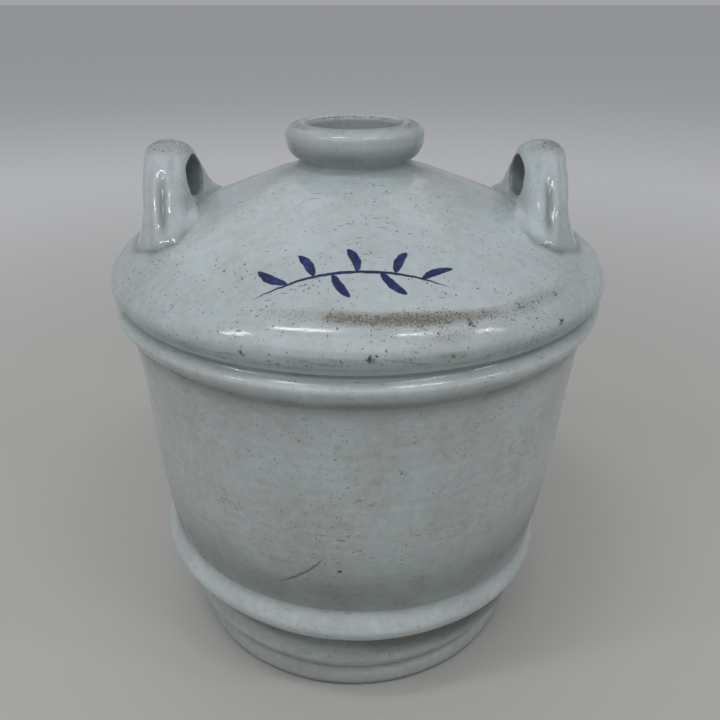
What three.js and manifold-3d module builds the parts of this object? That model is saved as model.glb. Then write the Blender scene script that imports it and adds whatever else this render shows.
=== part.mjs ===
// Glazed stoneware wine jar: a tub-shaped vessel with two hoops, a domed shoulder and two pierced ears.
// The clay sections are stacked on stepped laps, and the hoops and ears are laid on the outside.
// Millimetres, +Z up, origin at the middle of the foot, ears on the X axis.
import * as THREE from 'three';
import { mergeVertices } from 'three/addons/utils/BufferGeometryUtils.js';
import Module from 'manifold-3d';

// Joints between the clay sections
const LUTE_GAP = 0.3;
const LAP_DEPTH = 4;
const WALL_THICKNESS = 11;

// Foot and floor
const FOOT_HEIGHT = 21;
const FOOT_RADIUS = 126;
const FOOT_LIP = 3;
const FOOT_LIP_LEVEL = 8.4;
const FOOT_LIP_WRAP_DEG = 40;
const FOOT_GROOVE = 1.6;
const FOOT_GROOVE_DROP = 2.1;
const FOOT_RING_WIDTH = 24;
const FOOT_RECESS = 6;
const FLOOR_THICKNESS = 13;

// Walls
const FOOT_WALL_HEIGHT = 45;
const FOOT_WALL_FLARE = 10;
const FOOT_WALL_SWELL = 2.5;
const BODY_WALL_HEIGHT = 205;
const BODY_WALL_FLARE = 22.9;
const KNEE_SHARE = 0.31;
const KNEE_SWELL = 3.4;
const WAIST_SHARE = 0.62;
const WAIST_SWELL = 1.1;

// Hoops
const LOWER_HOOP_STAND = 9;
const LOWER_HOOP_HALF_HEIGHT = 14.5;
const LOWER_HOOP_TILT_DEG = 2.9;
const LOWER_HOOP_HIGH_SIDE_DEG = 205;
const LOWER_HOOP_SHIFT = 2.2;
const UPPER_HOOP_STAND = 5.5;
const UPPER_HOOP_HALF_HEIGHT = 11;
const UPPER_HOOP_DROP = 1;

// Shoulder and dome
const SHOULDER_OVERHANG = 7;
const SHOULDER_UNDERSIDE = 9;
const DOME_RISE = 73;
const DOME_THICKNESS = 10;
const DOME_FLATNESS = 1.15;
const DOME_FULLNESS = 1.78;

// Neck and mouth
const MOUTH_BORE = 62;
const NECK_THICKNESS = 6;
const NECK_FILLET = 6;
const NECK_HEIGHT = 9.5;
const NECK_SPIGOT = 8;
const RIM_HEIGHT = 23;
const RIM_BULGE = 9;
const RIM_ROLL = 5;

// Ears
const EAR_SETBACK = 27.9;
const EAR_WIDTH = 35.5;
const EAR_STAND = 47.6;
const EAR_HALF_LENGTH = 76;
const EAR_TOE_DROP = 61.3;
const EAR_CREST_ROUND = 24;
const EAR_TOE_CROWN = 2;
const EAR_INNER_FOOT = 15;
const EAR_OUTER_FOOT = 9;
const EAR_FOOT_BURIED = 5;
const EAR_HOLE_LENGTH = 44;
const EAR_HOLE_HEIGHT = 27;
const EAR_BAR_THICKNESS = 8.5;

// Faceting of the round shapes
const TURN_STEPS = 40;
const WALL_STEPS = 8;
const FOOT_WALL_STEPS = 3;
const DOME_STEPS = 12;
const ROUND_STEPS = 5;
const ROLL_STEPS = 3;
const HOOP_STEPS = 14;
const EAR_STATIONS = 24;
const EAR_CROWN_STEPS = 10;
const EAR_FLANK_STEPS = 3;
const HOLE_STEPS = 28;
const MERGE_TOLERANCE = 1e-4;

// Levels and radii that the sections share
const innerRadius = (outer) => outer - WALL_THICKNESS;
const boreRadius = MOUTH_BORE / 2;
const footWallLevel = FOOT_HEIGHT;
const bodyWallLevel = footWallLevel + FOOT_WALL_HEIGHT;
const shoulderLevel = bodyWallLevel + BODY_WALL_HEIGHT;
const bulgeLevel = shoulderLevel + SHOULDER_UNDERSIDE;
const earRootLevel = bulgeLevel - EAR_HALF_LENGTH;
const footTopRadius = FOOT_RADIUS + FOOT_LIP;
const seamRadius = footTopRadius + FOOT_WALL_FLARE;
const wallTopRadius = seamRadius + BODY_WALL_FLARE;
const bulgeRadius = wallTopRadius + SHOULDER_OVERHANG;
const neckRadius = boreRadius + NECK_THICKNESS;
const neckBaseRadius = neckRadius + NECK_FILLET;
const domeHoleRadius = neckRadius - LUTE_GAP;
const earOuterRadius = bulgeRadius - EAR_SETBACK;
const earInnerReach = earOuterRadius - EAR_WIDTH;

const wasm = await Module();
wasm.setup();

// A closed geometry as a solid that can be joined and cut.
function solidOf(geometry) {
  const bare = geometry.clone();
  bare.deleteAttribute('normal');
  bare.deleteAttribute('uv');
  const merged = mergeVertices(bare, MERGE_TOLERANCE);
  const corners = merged.index.array;
  const kept = [];
  for (let i = 0; i < corners.length; i += 3) {
    const [a, b, c] = [corners[i], corners[i + 1], corners[i + 2]];
    if (a !== b && b !== c && c !== a) kept.push(a, b, c);
  }
  const vertProperties = new Float32Array(merged.attributes.position.array);
  return new wasm.Manifold(new wasm.Mesh({ numProp: 3, vertProperties, triVerts: new Uint32Array(kept) }));
}

// A solid back as a geometry.
function geometryOf(solid) {
  const mesh = solid.getMesh();
  const geometry = new THREE.BufferGeometry();
  geometry.setAttribute('position', new THREE.BufferAttribute(new Float32Array(mesh.vertProperties), 3));
  geometry.setIndex(new THREE.BufferAttribute(new Uint32Array(mesh.triVerts), 1));
  geometry.computeVertexNormals();
  return geometry;
}

const at = (radius, height) => new THREE.Vector2(radius, height);

// A profile of (radius, height) points, up the outside and down the inside, turned round the jar's axis.
function turned(points) {
  const geometry = new THREE.LatheGeometry(points, TURN_STEPS);
  geometry.rotateX(Math.PI / 2);
  return geometry;
}

// A ring's profile, closed on itself.
const turnedRing = (points) => turned([...points, points[0].clone()]);

// Points along an elliptical arc from one angle to another, in degrees from the outward direction.
function arc(centre, radial, upright, fromDeg, toDeg, steps) {
  return Array.from({ length: steps + 1 }, (_, i) => {
    const angle = THREE.MathUtils.degToRad(fromDeg + ((toDeg - fromDeg) * i) / steps);
    return at(centre.x + radial * Math.cos(angle), centre.y + upright * Math.sin(angle));
  });
}

// The stepped top of a lower section, from its outside to its inside.
function lapSeat(outer, inner, level) {
  const step = (outer + inner) / 2;
  return [at(outer, level), at(step, level), at(step, level - LAP_DEPTH), at(inner, level - LAP_DEPTH)];
}

// The tongue under the section above, from its inside to its outside.
function lapTongue(outer, inner, level) {
  const step = (outer + inner) / 2 - LUTE_GAP;
  const tip = level - LAP_DEPTH + LUTE_GAP;
  return [at(inner, tip), at(step, tip), at(step, level), at(outer, level)];
}

// The radius of an outline, given from low to high, at a height.
function radiusAt(outline, height) {
  const above = outline.findIndex((point) => point.y >= height);
  if (above < 0) return outline[outline.length - 1].x;
  if (above === 0) return outline[0].x;
  const [low, high] = [outline[above - 1], outline[above]];
  return THREE.MathUtils.mapLinear(height, low.y, high.y, low.x, high.x);
}

// Outer lines of the walls, from low to high
const footWallLine = new THREE.QuadraticBezierCurve(
  at(footTopRadius, footWallLevel),
  at(footTopRadius + FOOT_WALL_FLARE / 2 + FOOT_WALL_SWELL, footWallLevel + FOOT_WALL_HEIGHT / 2),
  at(seamRadius, bodyWallLevel),
).getPoints(FOOT_WALL_STEPS);

const bodyStation = (share, swell) =>
  at(seamRadius + BODY_WALL_FLARE * share + swell, bodyWallLevel + BODY_WALL_HEIGHT * share);
const bodyWallLine = new THREE.SplineCurve([
  bodyStation(0, 0),
  bodyStation(KNEE_SHARE, KNEE_SWELL),
  bodyStation(WAIST_SHARE, WAIST_SWELL),
  bodyStation(1, 0),
]).getPoints(WALL_STEPS);

const wallLine = [...footWallLine, ...bodyWallLine.slice(1)];

// The dome's outer height at a radius: full at the shoulder, flattening towards the neck.
function domeHeight(radius, edgeRadius, edgeLevel, rise) {
  const share = Math.min(radius / edgeRadius, 1);
  return edgeLevel + rise * Math.pow(1 - Math.pow(share, DOME_FLATNESS), 1 / DOME_FULLNESS);
}

// Points on the dome from its edge up to a radius near the neck, closer together where it turns down.
function domeLine(edgeRadius, endRadius, edgeLevel, rise, steps) {
  return Array.from({ length: steps + 1 }, (_, i) => {
    const turn = (Math.PI / 2) * (1 - i / steps);
    const radius = endRadius + (edgeRadius - endRadius) * Math.sin(turn);
    return at(radius, domeHeight(radius, edgeRadius, edgeLevel, rise));
  });
}

const domeOuterLine = domeLine(bulgeRadius, neckBaseRadius, bulgeLevel, DOME_RISE, DOME_STEPS);
const neckLevel = domeOuterLine[DOME_STEPS].y;
const mouthLevel = neckLevel + NECK_HEIGHT;
const outerDomeHeight = (radius) => domeHeight(radius, bulgeRadius, bulgeLevel, DOME_RISE);
const earTopLevel = outerDomeHeight(earOuterRadius - EAR_WIDTH / 2) + EAR_STAND;

function footRing() {
  const inner = innerRadius(footTopRadius);
  const lipCentre = at(FOOT_RADIUS, FOOT_LIP_LEVEL);
  const lip = arc(lipCentre, FOOT_LIP, FOOT_LIP_LEVEL, -90, FOOT_LIP_WRAP_DEG, ROUND_STEPS);
  return turnedRing([
    ...lip,
    at(footTopRadius - FOOT_GROOVE, FOOT_HEIGHT - FOOT_GROOVE_DROP),
    ...lapSeat(footTopRadius, inner, FOOT_HEIGHT),
    at(inner, FOOT_RECESS),
    at(FOOT_RADIUS - FOOT_RING_WIDTH, FOOT_RECESS),
    at(FOOT_RADIUS - FOOT_RING_WIDTH, 0),
  ]);
}

function floorDisc() {
  const radius = innerRadius(footTopRadius) - LUTE_GAP;
  const top = FOOT_RECESS + FLOOR_THICKNESS;
  return turned([at(0, FOOT_RECESS), at(radius, FOOT_RECESS), at(radius, top), at(0, top)]);
}

function footWall() {
  return turnedRing([
    ...lapTongue(footTopRadius, innerRadius(footTopRadius), footWallLevel),
    ...footWallLine.slice(1, -1),
    ...lapSeat(seamRadius, innerRadius(seamRadius), bodyWallLevel),
    ...footWallLine.slice(1, -1).reverse().map((point) => at(innerRadius(point.x), point.y)),
  ]);
}

function bodyWall() {
  return turnedRing([
    ...lapTongue(seamRadius, innerRadius(seamRadius), bodyWallLevel),
    ...bodyWallLine.slice(1, -1),
    ...lapSeat(wallTopRadius, innerRadius(wallTopRadius), shoulderLevel),
    ...bodyWallLine.slice(1, -1).reverse().map((point) => at(innerRadius(point.x), point.y)),
  ]);
}

// The wall's outside with the slip's thickness on it, as one closed shape for cutting what is laid on it.
function wallEnvelope() {
  const skin = wallLine.map((point) => at(point.x + LUTE_GAP, point.y));
  const [bottom, top] = [skin[0], skin[skin.length - 1]];
  return turned([at(0, bottom.y), ...skin, at(0, top.y)]);
}

// A hand-laid band that follows the seam between the two walls, a little out of level.
function lowerHoop() {
  const centre = at(seamRadius, 0);
  const band = arc(centre, LOWER_HOOP_STAND, LOWER_HOOP_HALF_HEIGHT, 0, 360, HOOP_STEPS).slice(0, -1);
  const hoop = turnedRing(band);
  const highSide = THREE.MathUtils.degToRad(LOWER_HOOP_HIGH_SIDE_DEG);
  const tiltAxis = new THREE.Vector3(Math.sin(highSide), -Math.cos(highSide), 0);
  const tilt = THREE.MathUtils.degToRad(LOWER_HOOP_TILT_DEG);
  const place = new THREE.Matrix4().makeRotationAxis(tiltAxis, tilt);
  const shift = new THREE.Vector3(Math.cos(highSide), Math.sin(highSide), 0).setLength(LOWER_HOOP_SHIFT);
  place.setPosition(shift.x, shift.y, bodyWallLevel);
  hoop.applyMatrix4(place);
  return geometryOf(solidOf(hoop).subtract(solidOf(wallEnvelope())));
}

// A level band just under the shoulder, its back following the wall.
function upperHoop() {
  const middle = shoulderLevel - UPPER_HOOP_DROP - UPPER_HOOP_HALF_HEIGHT;
  const seatAt = (height) => at(radiusAt(wallLine, height) + LUTE_GAP, height);
  const low = middle - UPPER_HOOP_HALF_HEIGHT;
  const high = middle + UPPER_HOOP_HALF_HEIGHT;
  const face = arc(at(0, middle), UPPER_HOOP_STAND, UPPER_HOOP_HALF_HEIGHT, -90, 90, HOOP_STEPS / 2);
  const front = face.slice(1, -1).map((point) => at(seatAt(point.y).x + point.x, point.y));
  const back = wallLine.filter((point) => point.y > low && point.y < high).reverse();
  return turnedRing([seatAt(low), ...front, seatAt(high), ...back.map((point) => seatAt(point.y))]);
}

function shoulderDome() {
  const inner = innerRadius(wallTopRadius);
  const edge = at(wallTopRadius, bulgeLevel);
  const underside = arc(edge, SHOULDER_OVERHANG, SHOULDER_UNDERSIDE, -90, 0, ROUND_STEPS);
  const innerRise = bulgeLevel + DOME_RISE - DOME_THICKNESS - shoulderLevel;
  const innerLine = domeLine(inner, domeHoleRadius, shoulderLevel, innerRise, DOME_STEPS / 2);
  return turnedRing([
    ...lapTongue(wallTopRadius, inner, shoulderLevel),
    ...underside.slice(1),
    ...domeOuterLine.slice(1),
    at(domeHoleRadius, neckLevel),
    ...innerLine.reverse().slice(0, -1),
  ]);
}

function neckCollar() {
  const spigot = domeHoleRadius - LUTE_GAP;
  const filletCentre = at(neckBaseRadius, neckLevel + NECK_FILLET);
  const waist = arc(filletCentre, -NECK_FILLET, -NECK_FILLET, 90, 0, ROUND_STEPS);
  return turnedRing([
    at(boreRadius, neckLevel - NECK_SPIGOT),
    at(spigot, neckLevel - NECK_SPIGOT),
    at(spigot, neckLevel),
    ...waist,
    ...lapSeat(neckRadius, boreRadius, mouthLevel),
  ]);
}

function mouthRing() {
  const half = RIM_HEIGHT / 2;
  const middle = mouthLevel + half;
  const rollCentre = boreRadius + RIM_ROLL;
  const overhang = neckRadius + RIM_BULGE - rollCentre;
  const underside = arc(at(neckRadius, middle), RIM_BULGE, half, -90, 0, ROUND_STEPS);
  const crest = arc(at(rollCentre, middle), overhang, half, 0, 90, ROUND_STEPS);
  const roll = arc(at(rollCentre, middle + half - RIM_ROLL), RIM_ROLL, RIM_ROLL, 90, 180, ROLL_STEPS);
  return turnedRing([
    ...lapTongue(neckRadius, boreRadius, mouthLevel),
    ...underside.slice(1),
    ...crest.slice(1),
    ...roll.slice(1),
  ]);
}

// A closed skin through slices of points in planes across Y, all with as many points, with flat ends.
function lofted(slices) {
  const count = slices[0].length;
  const corners = [];
  for (let i = 0; i + 1 < slices.length; i += 1) {
    for (let j = 0; j < count; j += 1) {
      const next = (j + 1) % count;
      const [a, b, c, d] = [i * count + j, i * count + next, (i + 1) * count + next, (i + 1) * count + j];
      corners.push(a, b, c, a, c, d);
    }
  }
  const last = (slices.length - 1) * count;
  const faceOf = (slice) => THREE.ShapeUtils.triangulateShape(slice.map((point) => at(point.x, point.z)), []);
  faceOf(slices[0]).forEach(([a, b, c]) => corners.push(a, b, c));
  faceOf(slices[slices.length - 1]).forEach(([a, b, c]) => corners.push(last + a, last + c, last + b));
  const geometry = new THREE.BufferGeometry().setFromPoints(slices.flat());
  geometry.setIndex(corners);
  return geometry;
}

// The side of an ear from the spring of its crown, hollowed out to a foot that dips into the dome.
function earFlank(spring, reach, along) {
  const footX = spring.x + reach;
  const dome = outerDomeHeight(Math.hypot(footX, along));
  const foot = at(footX, Math.min(dome, spring.y) - EAR_FOOT_BURIED);
  const side = new THREE.QuadraticBezierCurve(spring, at(spring.x, foot.y), foot).getPoints(EAR_FLANK_STEPS);
  return [...side.slice(1), at(footX, earRootLevel)];
}

// How far a crest with a rounded top has fallen at a distance along it, for a slope of one on its sides.
const earCrestFall = (along) => Math.hypot(along, EAR_CREST_ROUND) - EAR_CREST_ROUND;

// One upright slice of the ear at a distance along it: a crown over two flanks, flatter towards the toes.
function earSlice(along) {
  const top = earTopLevel - (EAR_TOE_DROP * earCrestFall(along)) / earCrestFall(EAR_HALF_LENGTH);
  const outer = Math.sqrt(earOuterRadius ** 2 - along ** 2);
  const half = (outer - earInnerReach) / 2;
  const rise = THREE.MathUtils.lerp(half, EAR_TOE_CROWN, Math.abs(along) / EAR_HALF_LENGTH);
  const crown = arc(at(outer - half, top - rise), half, rise, 180, 0, EAR_CROWN_STEPS);
  const innerFlank = earFlank(crown[0], -EAR_INNER_FOOT, along).reverse();
  const outerFlank = earFlank(crown[EAR_CROWN_STEPS], EAR_OUTER_FOOT, along);
  return [...innerFlank, ...crown, ...outerFlank].map((point) => new THREE.Vector3(point.x, along, point.y));
}

// The shoulder's outside with the slip's thickness on it, closed, for cutting the ears' undersides.
function domeEnvelope() {
  const skin = domeOuterLine.map((point) => at(point.x, point.y + LUTE_GAP));
  const cap = skin[DOME_STEPS];
  const floor = earRootLevel - EAR_HALF_LENGTH;
  return turned([at(0, floor), at(bulgeRadius + LUTE_GAP, floor), ...skin, at(0, cap.y)]);
}

// A lug along the shoulder on the +X side, with a hole through it from the jar's middle outwards.
function ear() {
  const slices = Array.from({ length: EAR_STATIONS + 1 }, (_, i) =>
    earSlice(EAR_HALF_LENGTH * ((2 * i) / EAR_STATIONS - 1)),
  );
  const hole = new THREE.CylinderGeometry(1, 1, bulgeRadius, HOLE_STEPS);
  hole.rotateZ(Math.PI / 2);
  hole.scale(1, EAR_HOLE_LENGTH / 2, EAR_HOLE_HEIGHT / 2);
  hole.translate(earOuterRadius, 0, earTopLevel - EAR_BAR_THICKNESS - EAR_HOLE_HEIGHT / 2);
  const lug = solidOf(lofted(slices)).subtract(solidOf(hole));
  return geometryOf(lug.subtract(solidOf(domeEnvelope())));
}

const jar = new THREE.Group();

function addPiece(name, geometry, color, roughness) {
  const piece = new THREE.Mesh(geometry, new THREE.MeshStandardMaterial({ color, roughness, metalness: 0 }));
  piece.name = name;
  jar.add(piece);
  return piece;
}

addPiece('foot_ring', footRing(), '#a9afac', 0.4);
addPiece('floor_disc', floorDisc(), '#9fa5a2', 0.5);
addPiece('foot_wall', footWall(), '#b2b9b7', 0.3);
addPiece('body_wall', bodyWall(), '#b6bdbc', 0.28);
addPiece('lower_hoop', lowerHoop(), '#bac3c2', 0.25);
addPiece('upper_hoop', upperHoop(), '#b9c1c1', 0.25);
addPiece('shoulder_dome', shoulderDome(), '#bfc9ca', 0.2);
addPiece('neck_collar', neckCollar(), '#b9c2c2', 0.25);
addPiece('mouth_ring', mouthRing(), '#b7c0bf', 0.25);
addPiece('right_ear', ear(), '#bcc6c5', 0.22);
addPiece('left_ear', ear(), '#bdc6c6', 0.22).rotation.z = Math.PI;

export default jar;
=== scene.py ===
"""Glazed stoneware wine jar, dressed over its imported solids.

A potter throws such a jar in sections, lutes them together, lays on the hoops and ears and glazes it as one.
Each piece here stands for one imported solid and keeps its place. Profiles and sizes are in millimetres, as
(radius, height) from the middle of the foot, and meshes are in metres.
"""
import logging
import math
from dataclasses import dataclass
from enum import Enum
from functools import partial
from typing import Callable, Sequence

import bmesh
import bpy
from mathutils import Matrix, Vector, noise


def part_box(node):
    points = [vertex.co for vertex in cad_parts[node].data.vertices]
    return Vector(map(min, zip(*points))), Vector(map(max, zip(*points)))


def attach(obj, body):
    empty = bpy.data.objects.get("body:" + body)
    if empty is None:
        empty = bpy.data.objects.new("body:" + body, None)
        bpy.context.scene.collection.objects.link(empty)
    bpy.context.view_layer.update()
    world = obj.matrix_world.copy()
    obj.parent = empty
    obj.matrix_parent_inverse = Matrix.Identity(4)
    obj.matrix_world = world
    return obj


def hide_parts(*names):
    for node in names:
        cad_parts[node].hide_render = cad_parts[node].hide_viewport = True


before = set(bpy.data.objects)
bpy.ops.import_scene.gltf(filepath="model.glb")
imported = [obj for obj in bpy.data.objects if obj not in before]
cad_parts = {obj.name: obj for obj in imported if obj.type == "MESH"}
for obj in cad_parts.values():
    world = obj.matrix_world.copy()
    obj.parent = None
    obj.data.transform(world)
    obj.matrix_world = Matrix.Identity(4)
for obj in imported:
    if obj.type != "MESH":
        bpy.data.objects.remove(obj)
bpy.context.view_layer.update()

LOG = logging.getLogger("wine_jar")
MM = 0.001
BODY = "root"
TURN_STEPS = 288
SHARP_ANGLE = math.radians(50)
WELD = 0.01
EAR_WELD = 0.005
CREASE = "crease"
RUB = "rub"

Point = tuple[float, float]
# Where a change starts and where it is complete
Span = tuple[float, float]


class Slot(Enum):
    """Material slots, one for each finish."""

    FOOT = "foot_glaze"
    CLAY = "bare_clay"
    WALL = "wall_glaze"
    HOOP = "hoop_glaze"
    SHOULDER = "shoulder_glaze"
    NECK = "neck_glaze"
    EAR = "ear_glaze"


# Curves and easing

def ease(value: float, low: float, high: float) -> float:
    """Smooth step from 0 at low to 1 at high."""
    share = min(max((value - low) / (high - low), 0.0), 1.0)
    return share * share * (3 - 2 * share)


def smooth_max(first: float, second: float, blend: float) -> float:
    """The larger of two lengths, with a fillet of about the blend's size where they cross."""
    overlap = max(blend - abs(first - second), 0.0) / blend
    return max(first, second) + overlap * overlap * blend / 4


def swell(share: float) -> float:
    """A round bump: 1 where the share is 0, falling smoothly to 0 where it is 1 or -1."""
    return (1 + math.cos(math.pi * min(max(share, -1.0), 1.0))) / 2


def spread(low: float, high: float, steps: int) -> list[float]:
    """Evenly spaced values from low to high, both included."""
    return [low + (high - low) * i / steps for i in range(steps + 1)]


def arc(centre: Point, radial: float, upright: float, start: float, end: float, steps: int) -> list[Point]:
    """Points along an elliptical arc.

    Args:
        centre: The ellipse's middle.
        radial: Its half width along the radius.
        upright: Its half height.
        start: First angle in degrees, from the outward direction.
        end: Last angle in degrees.
        steps: Number of stretches between points.

    Returns:
        The points from the first angle to the last.
    """
    turns = [math.radians(angle) for angle in spread(start, end, steps)]
    return [(centre[0] + radial * math.cos(a), centre[1] + upright * math.sin(a)) for a in turns]


def bend(start: Point, corner: Point, end: Point, steps: int) -> list[Point]:
    """Points along a quadratic curve that leaves start towards corner and reaches end from it."""
    shares = spread(0, 1, steps)
    return [tuple((1 - s) ** 2 * a + 2 * s * (1 - s) * b + s * s * c for a, b, c in zip(start, corner, end))
            for s in shares]


@dataclass(frozen=True)
class JarSizes:
    """Levels and radii that the sections share, in millimetres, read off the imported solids."""

    foot_level: float
    seam_level: float
    shoulder_level: float
    neck_level: float
    mouth_level: float
    rim_level: float
    foot_radius: float
    seam_radius: float
    wall_radius: float
    bulge_radius: float
    neck_base_radius: float
    rim_radius: float
    ear_level: float

    @classmethod
    def from_solids(cls) -> "JarSizes":
        """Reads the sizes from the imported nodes' boxes.

        Returns:
            The sizes.
        """
        tops = {name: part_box(name)[1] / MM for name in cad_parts}
        return cls(
            foot_level=tops["foot_ring"].z,
            seam_level=tops["foot_wall"].z,
            shoulder_level=tops["body_wall"].z,
            neck_level=tops["shoulder_dome"].z,
            mouth_level=tops["neck_collar"].z,
            rim_level=tops["mouth_ring"].z,
            foot_radius=tops["foot_ring"].x,
            seam_radius=tops["foot_wall"].x,
            wall_radius=tops["body_wall"].x,
            bulge_radius=tops["shoulder_dome"].x,
            neck_base_radius=tops["neck_collar"].x,
            rim_radius=tops["mouth_ring"].x,
            ear_level=tops["right_ear"].z,
        )


JAR = JarSizes.from_solids()
WALL_THICKNESS = 11.0
DOME_THICKNESS = 10.0
LAP_DEPTH = 4.0
BORE_RADIUS = 31.0


@dataclass(frozen=True)
class HandThrown:
    """Small departures from a true turned shape. Every piece shares them, so the joints stay shut."""

    foot_sway: float = -2.0
    shoulder_sway: float = 1.6
    rim_sway: float = -0.5
    lump_height: float = 0.45
    lump_size: float = 42.0
    ring_height: float = 0.09
    ring_pitch: float = 8.6

    def moved(self, point: Vector) -> Vector:
        """Where a point of the true shape ends up.

        Args:
            point: A point in millimetres.

        Returns:
            The same point on the hand-thrown jar, in metres.
        """
        radius = math.hypot(point.x, point.y)
        angle = math.atan2(point.y, point.x)
        lump = noise.noise(point / self.lump_size) * self.lump_height
        turn = point.z / self.ring_pitch + angle / math.tau
        ring = math.sin(math.tau * turn) * self.ring_height
        grown = 1 + (lump + ring) / max(radius, self.lump_size)
        to_shoulder = ease(point.z, 0, JAR.shoulder_level)
        to_rim = ease(point.z, JAR.shoulder_level, JAR.rim_level)
        sway = self.foot_sway + (self.shoulder_sway - self.foot_sway) * to_shoulder
        sway += (self.rim_sway - self.shoulder_sway) * to_rim
        return Vector((point.x * grown + sway, point.y * grown, point.z)) * MM


THROWN = HandThrown()


# Outer lines of the jar

@dataclass(frozen=True)
class WallLine:
    """The outer line of the two wall sections."""

    foot_hollow: float = 1.6
    ridge: float = 5.2
    ridge_level: float = 33.0
    ridge_reach: float = 11.0
    knee_swell: float = 27.1
    waist_fall: float = 36.2

    def radius(self, height: float) -> float:
        """The wall's outer radius at a height.

        Args:
            height: A height in millimetres.

        Returns:
            The radius in millimetres.
        """
        if height < JAR.seam_level:
            share = (height - JAR.foot_level) / (JAR.seam_level - JAR.foot_level)
            flare = (JAR.seam_radius - JAR.foot_radius) * max(share, 0.0) ** self.foot_hollow
            ridge = self.ridge * swell((height - self.ridge_level) / self.ridge_reach)
            return JAR.foot_radius + flare + ridge
        share = (height - JAR.seam_level) / (JAR.shoulder_level - JAR.seam_level)
        flare = (JAR.wall_radius - JAR.seam_radius) * share
        return JAR.seam_radius + flare + share * (1 - share) * (self.knee_swell - self.waist_fall * share)


@dataclass(frozen=True)
class DomeLine:
    """The outer line of shoulder and dome: rolled under at the shoulder, straightening to the neck."""

    underside: float = 14.0
    tuck: float = 12.0
    tuck_depth: float = 7.0
    draw_in: float = 3.0
    rise: float = 92.9
    flatness: float = 0.557
    fullness: float = 1.732
    neck_hollow: float = 1.6
    hollow_reach: float = 9.0

    @property
    def bulge_level(self) -> float:
        """The height at which the shoulder is widest."""
        return JAR.shoulder_level + self.underside

    def height(self, radius: float) -> float:
        """The dome's outer height at a radius."""
        share = min(radius / JAR.bulge_radius, 1.0)
        hollow = self.neck_hollow * math.exp(-((radius - JAR.neck_base_radius) / self.hollow_reach) ** 2)
        return self.bulge_level + self.rise * (1 - share ** self.flatness) ** (1 / self.fullness) - hollow

    def underside_radius(self, height: float) -> float:
        """The radius of the shoulder's underside at a height, drawn in steeply below it.

        Args:
            height: A height in millimetres.

        Returns:
            The radius in millimetres.
        """
        down = max(self.bulge_level - height, 0.0) / self.tuck
        inner = JAR.bulge_radius - self.tuck_depth
        if down > 1:
            return inner - self.draw_in * (down - 1) * self.tuck
        return inner + self.tuck_depth * math.sqrt(1 - down * down)

    def inner_height(self, radius: float) -> float:
        """The dome's inner height at a radius, springing from the inside of the wall."""
        share = min(radius / (JAR.wall_radius - WALL_THICKNESS), 1.0)
        rise = self.bulge_level + self.rise - DOME_THICKNESS - JAR.shoulder_level
        return JAR.shoulder_level + rise * (1 - share ** self.flatness) ** (1 / self.fullness)


WALL = WallLine()
DOME = DomeLine()


# Where painted shade darkens the creases and where the glaze is rubbed

SHOULDER_FALL = 0.7
MARK_END = 3.0


@dataclass(frozen=True)
class RingMark:
    """A ring round the jar that is darkened by painted shade or rubbed, strongest at its middle.

    Angles are in degrees from the front, positive to the right. A half turn of 180 covers the whole ring. A
    drift, in millimetres of radius for each degree, lets a mark slant across the shoulder.
    """

    radius: float
    height: float
    reach: float
    amount: float
    angle: float = 0.0
    half_turn: float = 180.0
    fade: float = 10.0
    drift: float = 0.0

    def strength(self, radius: float, height: float, turn: float) -> float:
        """How strong the mark is at a place.

        Args:
            radius: The place's distance from the jar's axis.
            height: Its height.
            turn: Its angle from the front in degrees.

        Returns:
            The strength, from 0 to the mark's amount.
        """
        swing = (turn - self.angle + 180) % 360 - 180
        shift = self.drift * swing
        drop = shift * SHOULDER_FALL
        away = math.hypot(radius - self.radius - shift, height - self.height + drop) / self.reach
        if away > MARK_END:
            return 0.0
        along = 1 - ease(abs(swing), self.half_turn, self.half_turn + self.fade)
        return self.amount * math.exp(-away * away) * along


# Painted shade in creases and under overhangs, in the colour of gathered glaze: the valley under the
# shoulder, the shoulder's underside, under the upper hoop, round the neck, under the rim, in the foot's
# groove and where the foot meets the floor
CREASE_SHADES: tuple[RingMark, ...] = (
    RingMark(JAR.wall_radius + 1.0, JAR.shoulder_level + 2.0, 5.0, 0.75),
    RingMark(JAR.bulge_radius - 2.0, JAR.shoulder_level + 7.0, 5.0, 0.60),
    RingMark(WALL.radius(252.0) + 3.0, 252.0, 8.0, 1.0),
    RingMark(38.0, JAR.mouth_level, 2.2, 0.45),
    RingMark(43.0, JAR.mouth_level + 5.5, 7.5, 0.75),
    RingMark(JAR.foot_radius - 1.5, JAR.foot_level - 1.0, 3.0, 1.1),
    RingMark(JAR.foot_radius - 1.0, 1.0, 4.0, 1.2),
)
RUBS: tuple[RingMark, ...] = (
    RingMark(39.0, JAR.rim_level - 0.7, 5.5, 0.80),
    RingMark(32.4, JAR.rim_level - 2.0, 1.5, 0.85),
    RingMark(155.0, DOME.height(155.0), 12.0, 0.22),
    RingMark(155.8, DOME.height(155.8), 5.2, 1.25, angle=10.5, half_turn=13.0, fade=10.0, drift=0.12),
    RingMark(158.0, DOME.height(158.0), 8.0, 0.62, angle=34.0, half_turn=9.0, fade=16.0),
    RingMark(153.4, DOME.height(153.4), 7.0, 0.52, angle=-11.0, half_turn=4.0, fade=9.0),
    RingMark(164.0, DOME.height(164.0), 7.0, 0.58, angle=19.0, half_turn=7.0, fade=10.0),
    RingMark(168.6, 283.0, 4.0, 0.60, angle=4.0, half_turn=13.0, fade=14.0),
    RingMark(168.4, 281.0, 4.0, 0.52, angle=-33.0, half_turn=11.0, fade=12.0),
    RingMark(168.4, 281.0, 4.0, 0.55, angle=38.0, half_turn=12.0, fade=12.0),
    RingMark(WALL.radius(258.5) + 6.2, 258.5, 4.5, 0.55, angle=30.0, half_turn=14.0, fade=16.0),
    RingMark(WALL.radius(258.5) + 6.2, 258.5, 4.5, 0.52, angle=-27.0, half_turn=12.0, fade=16.0),
    RingMark(JAR.foot_radius - 2.0, 0.0, 3.0, 0.5),
)


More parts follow.
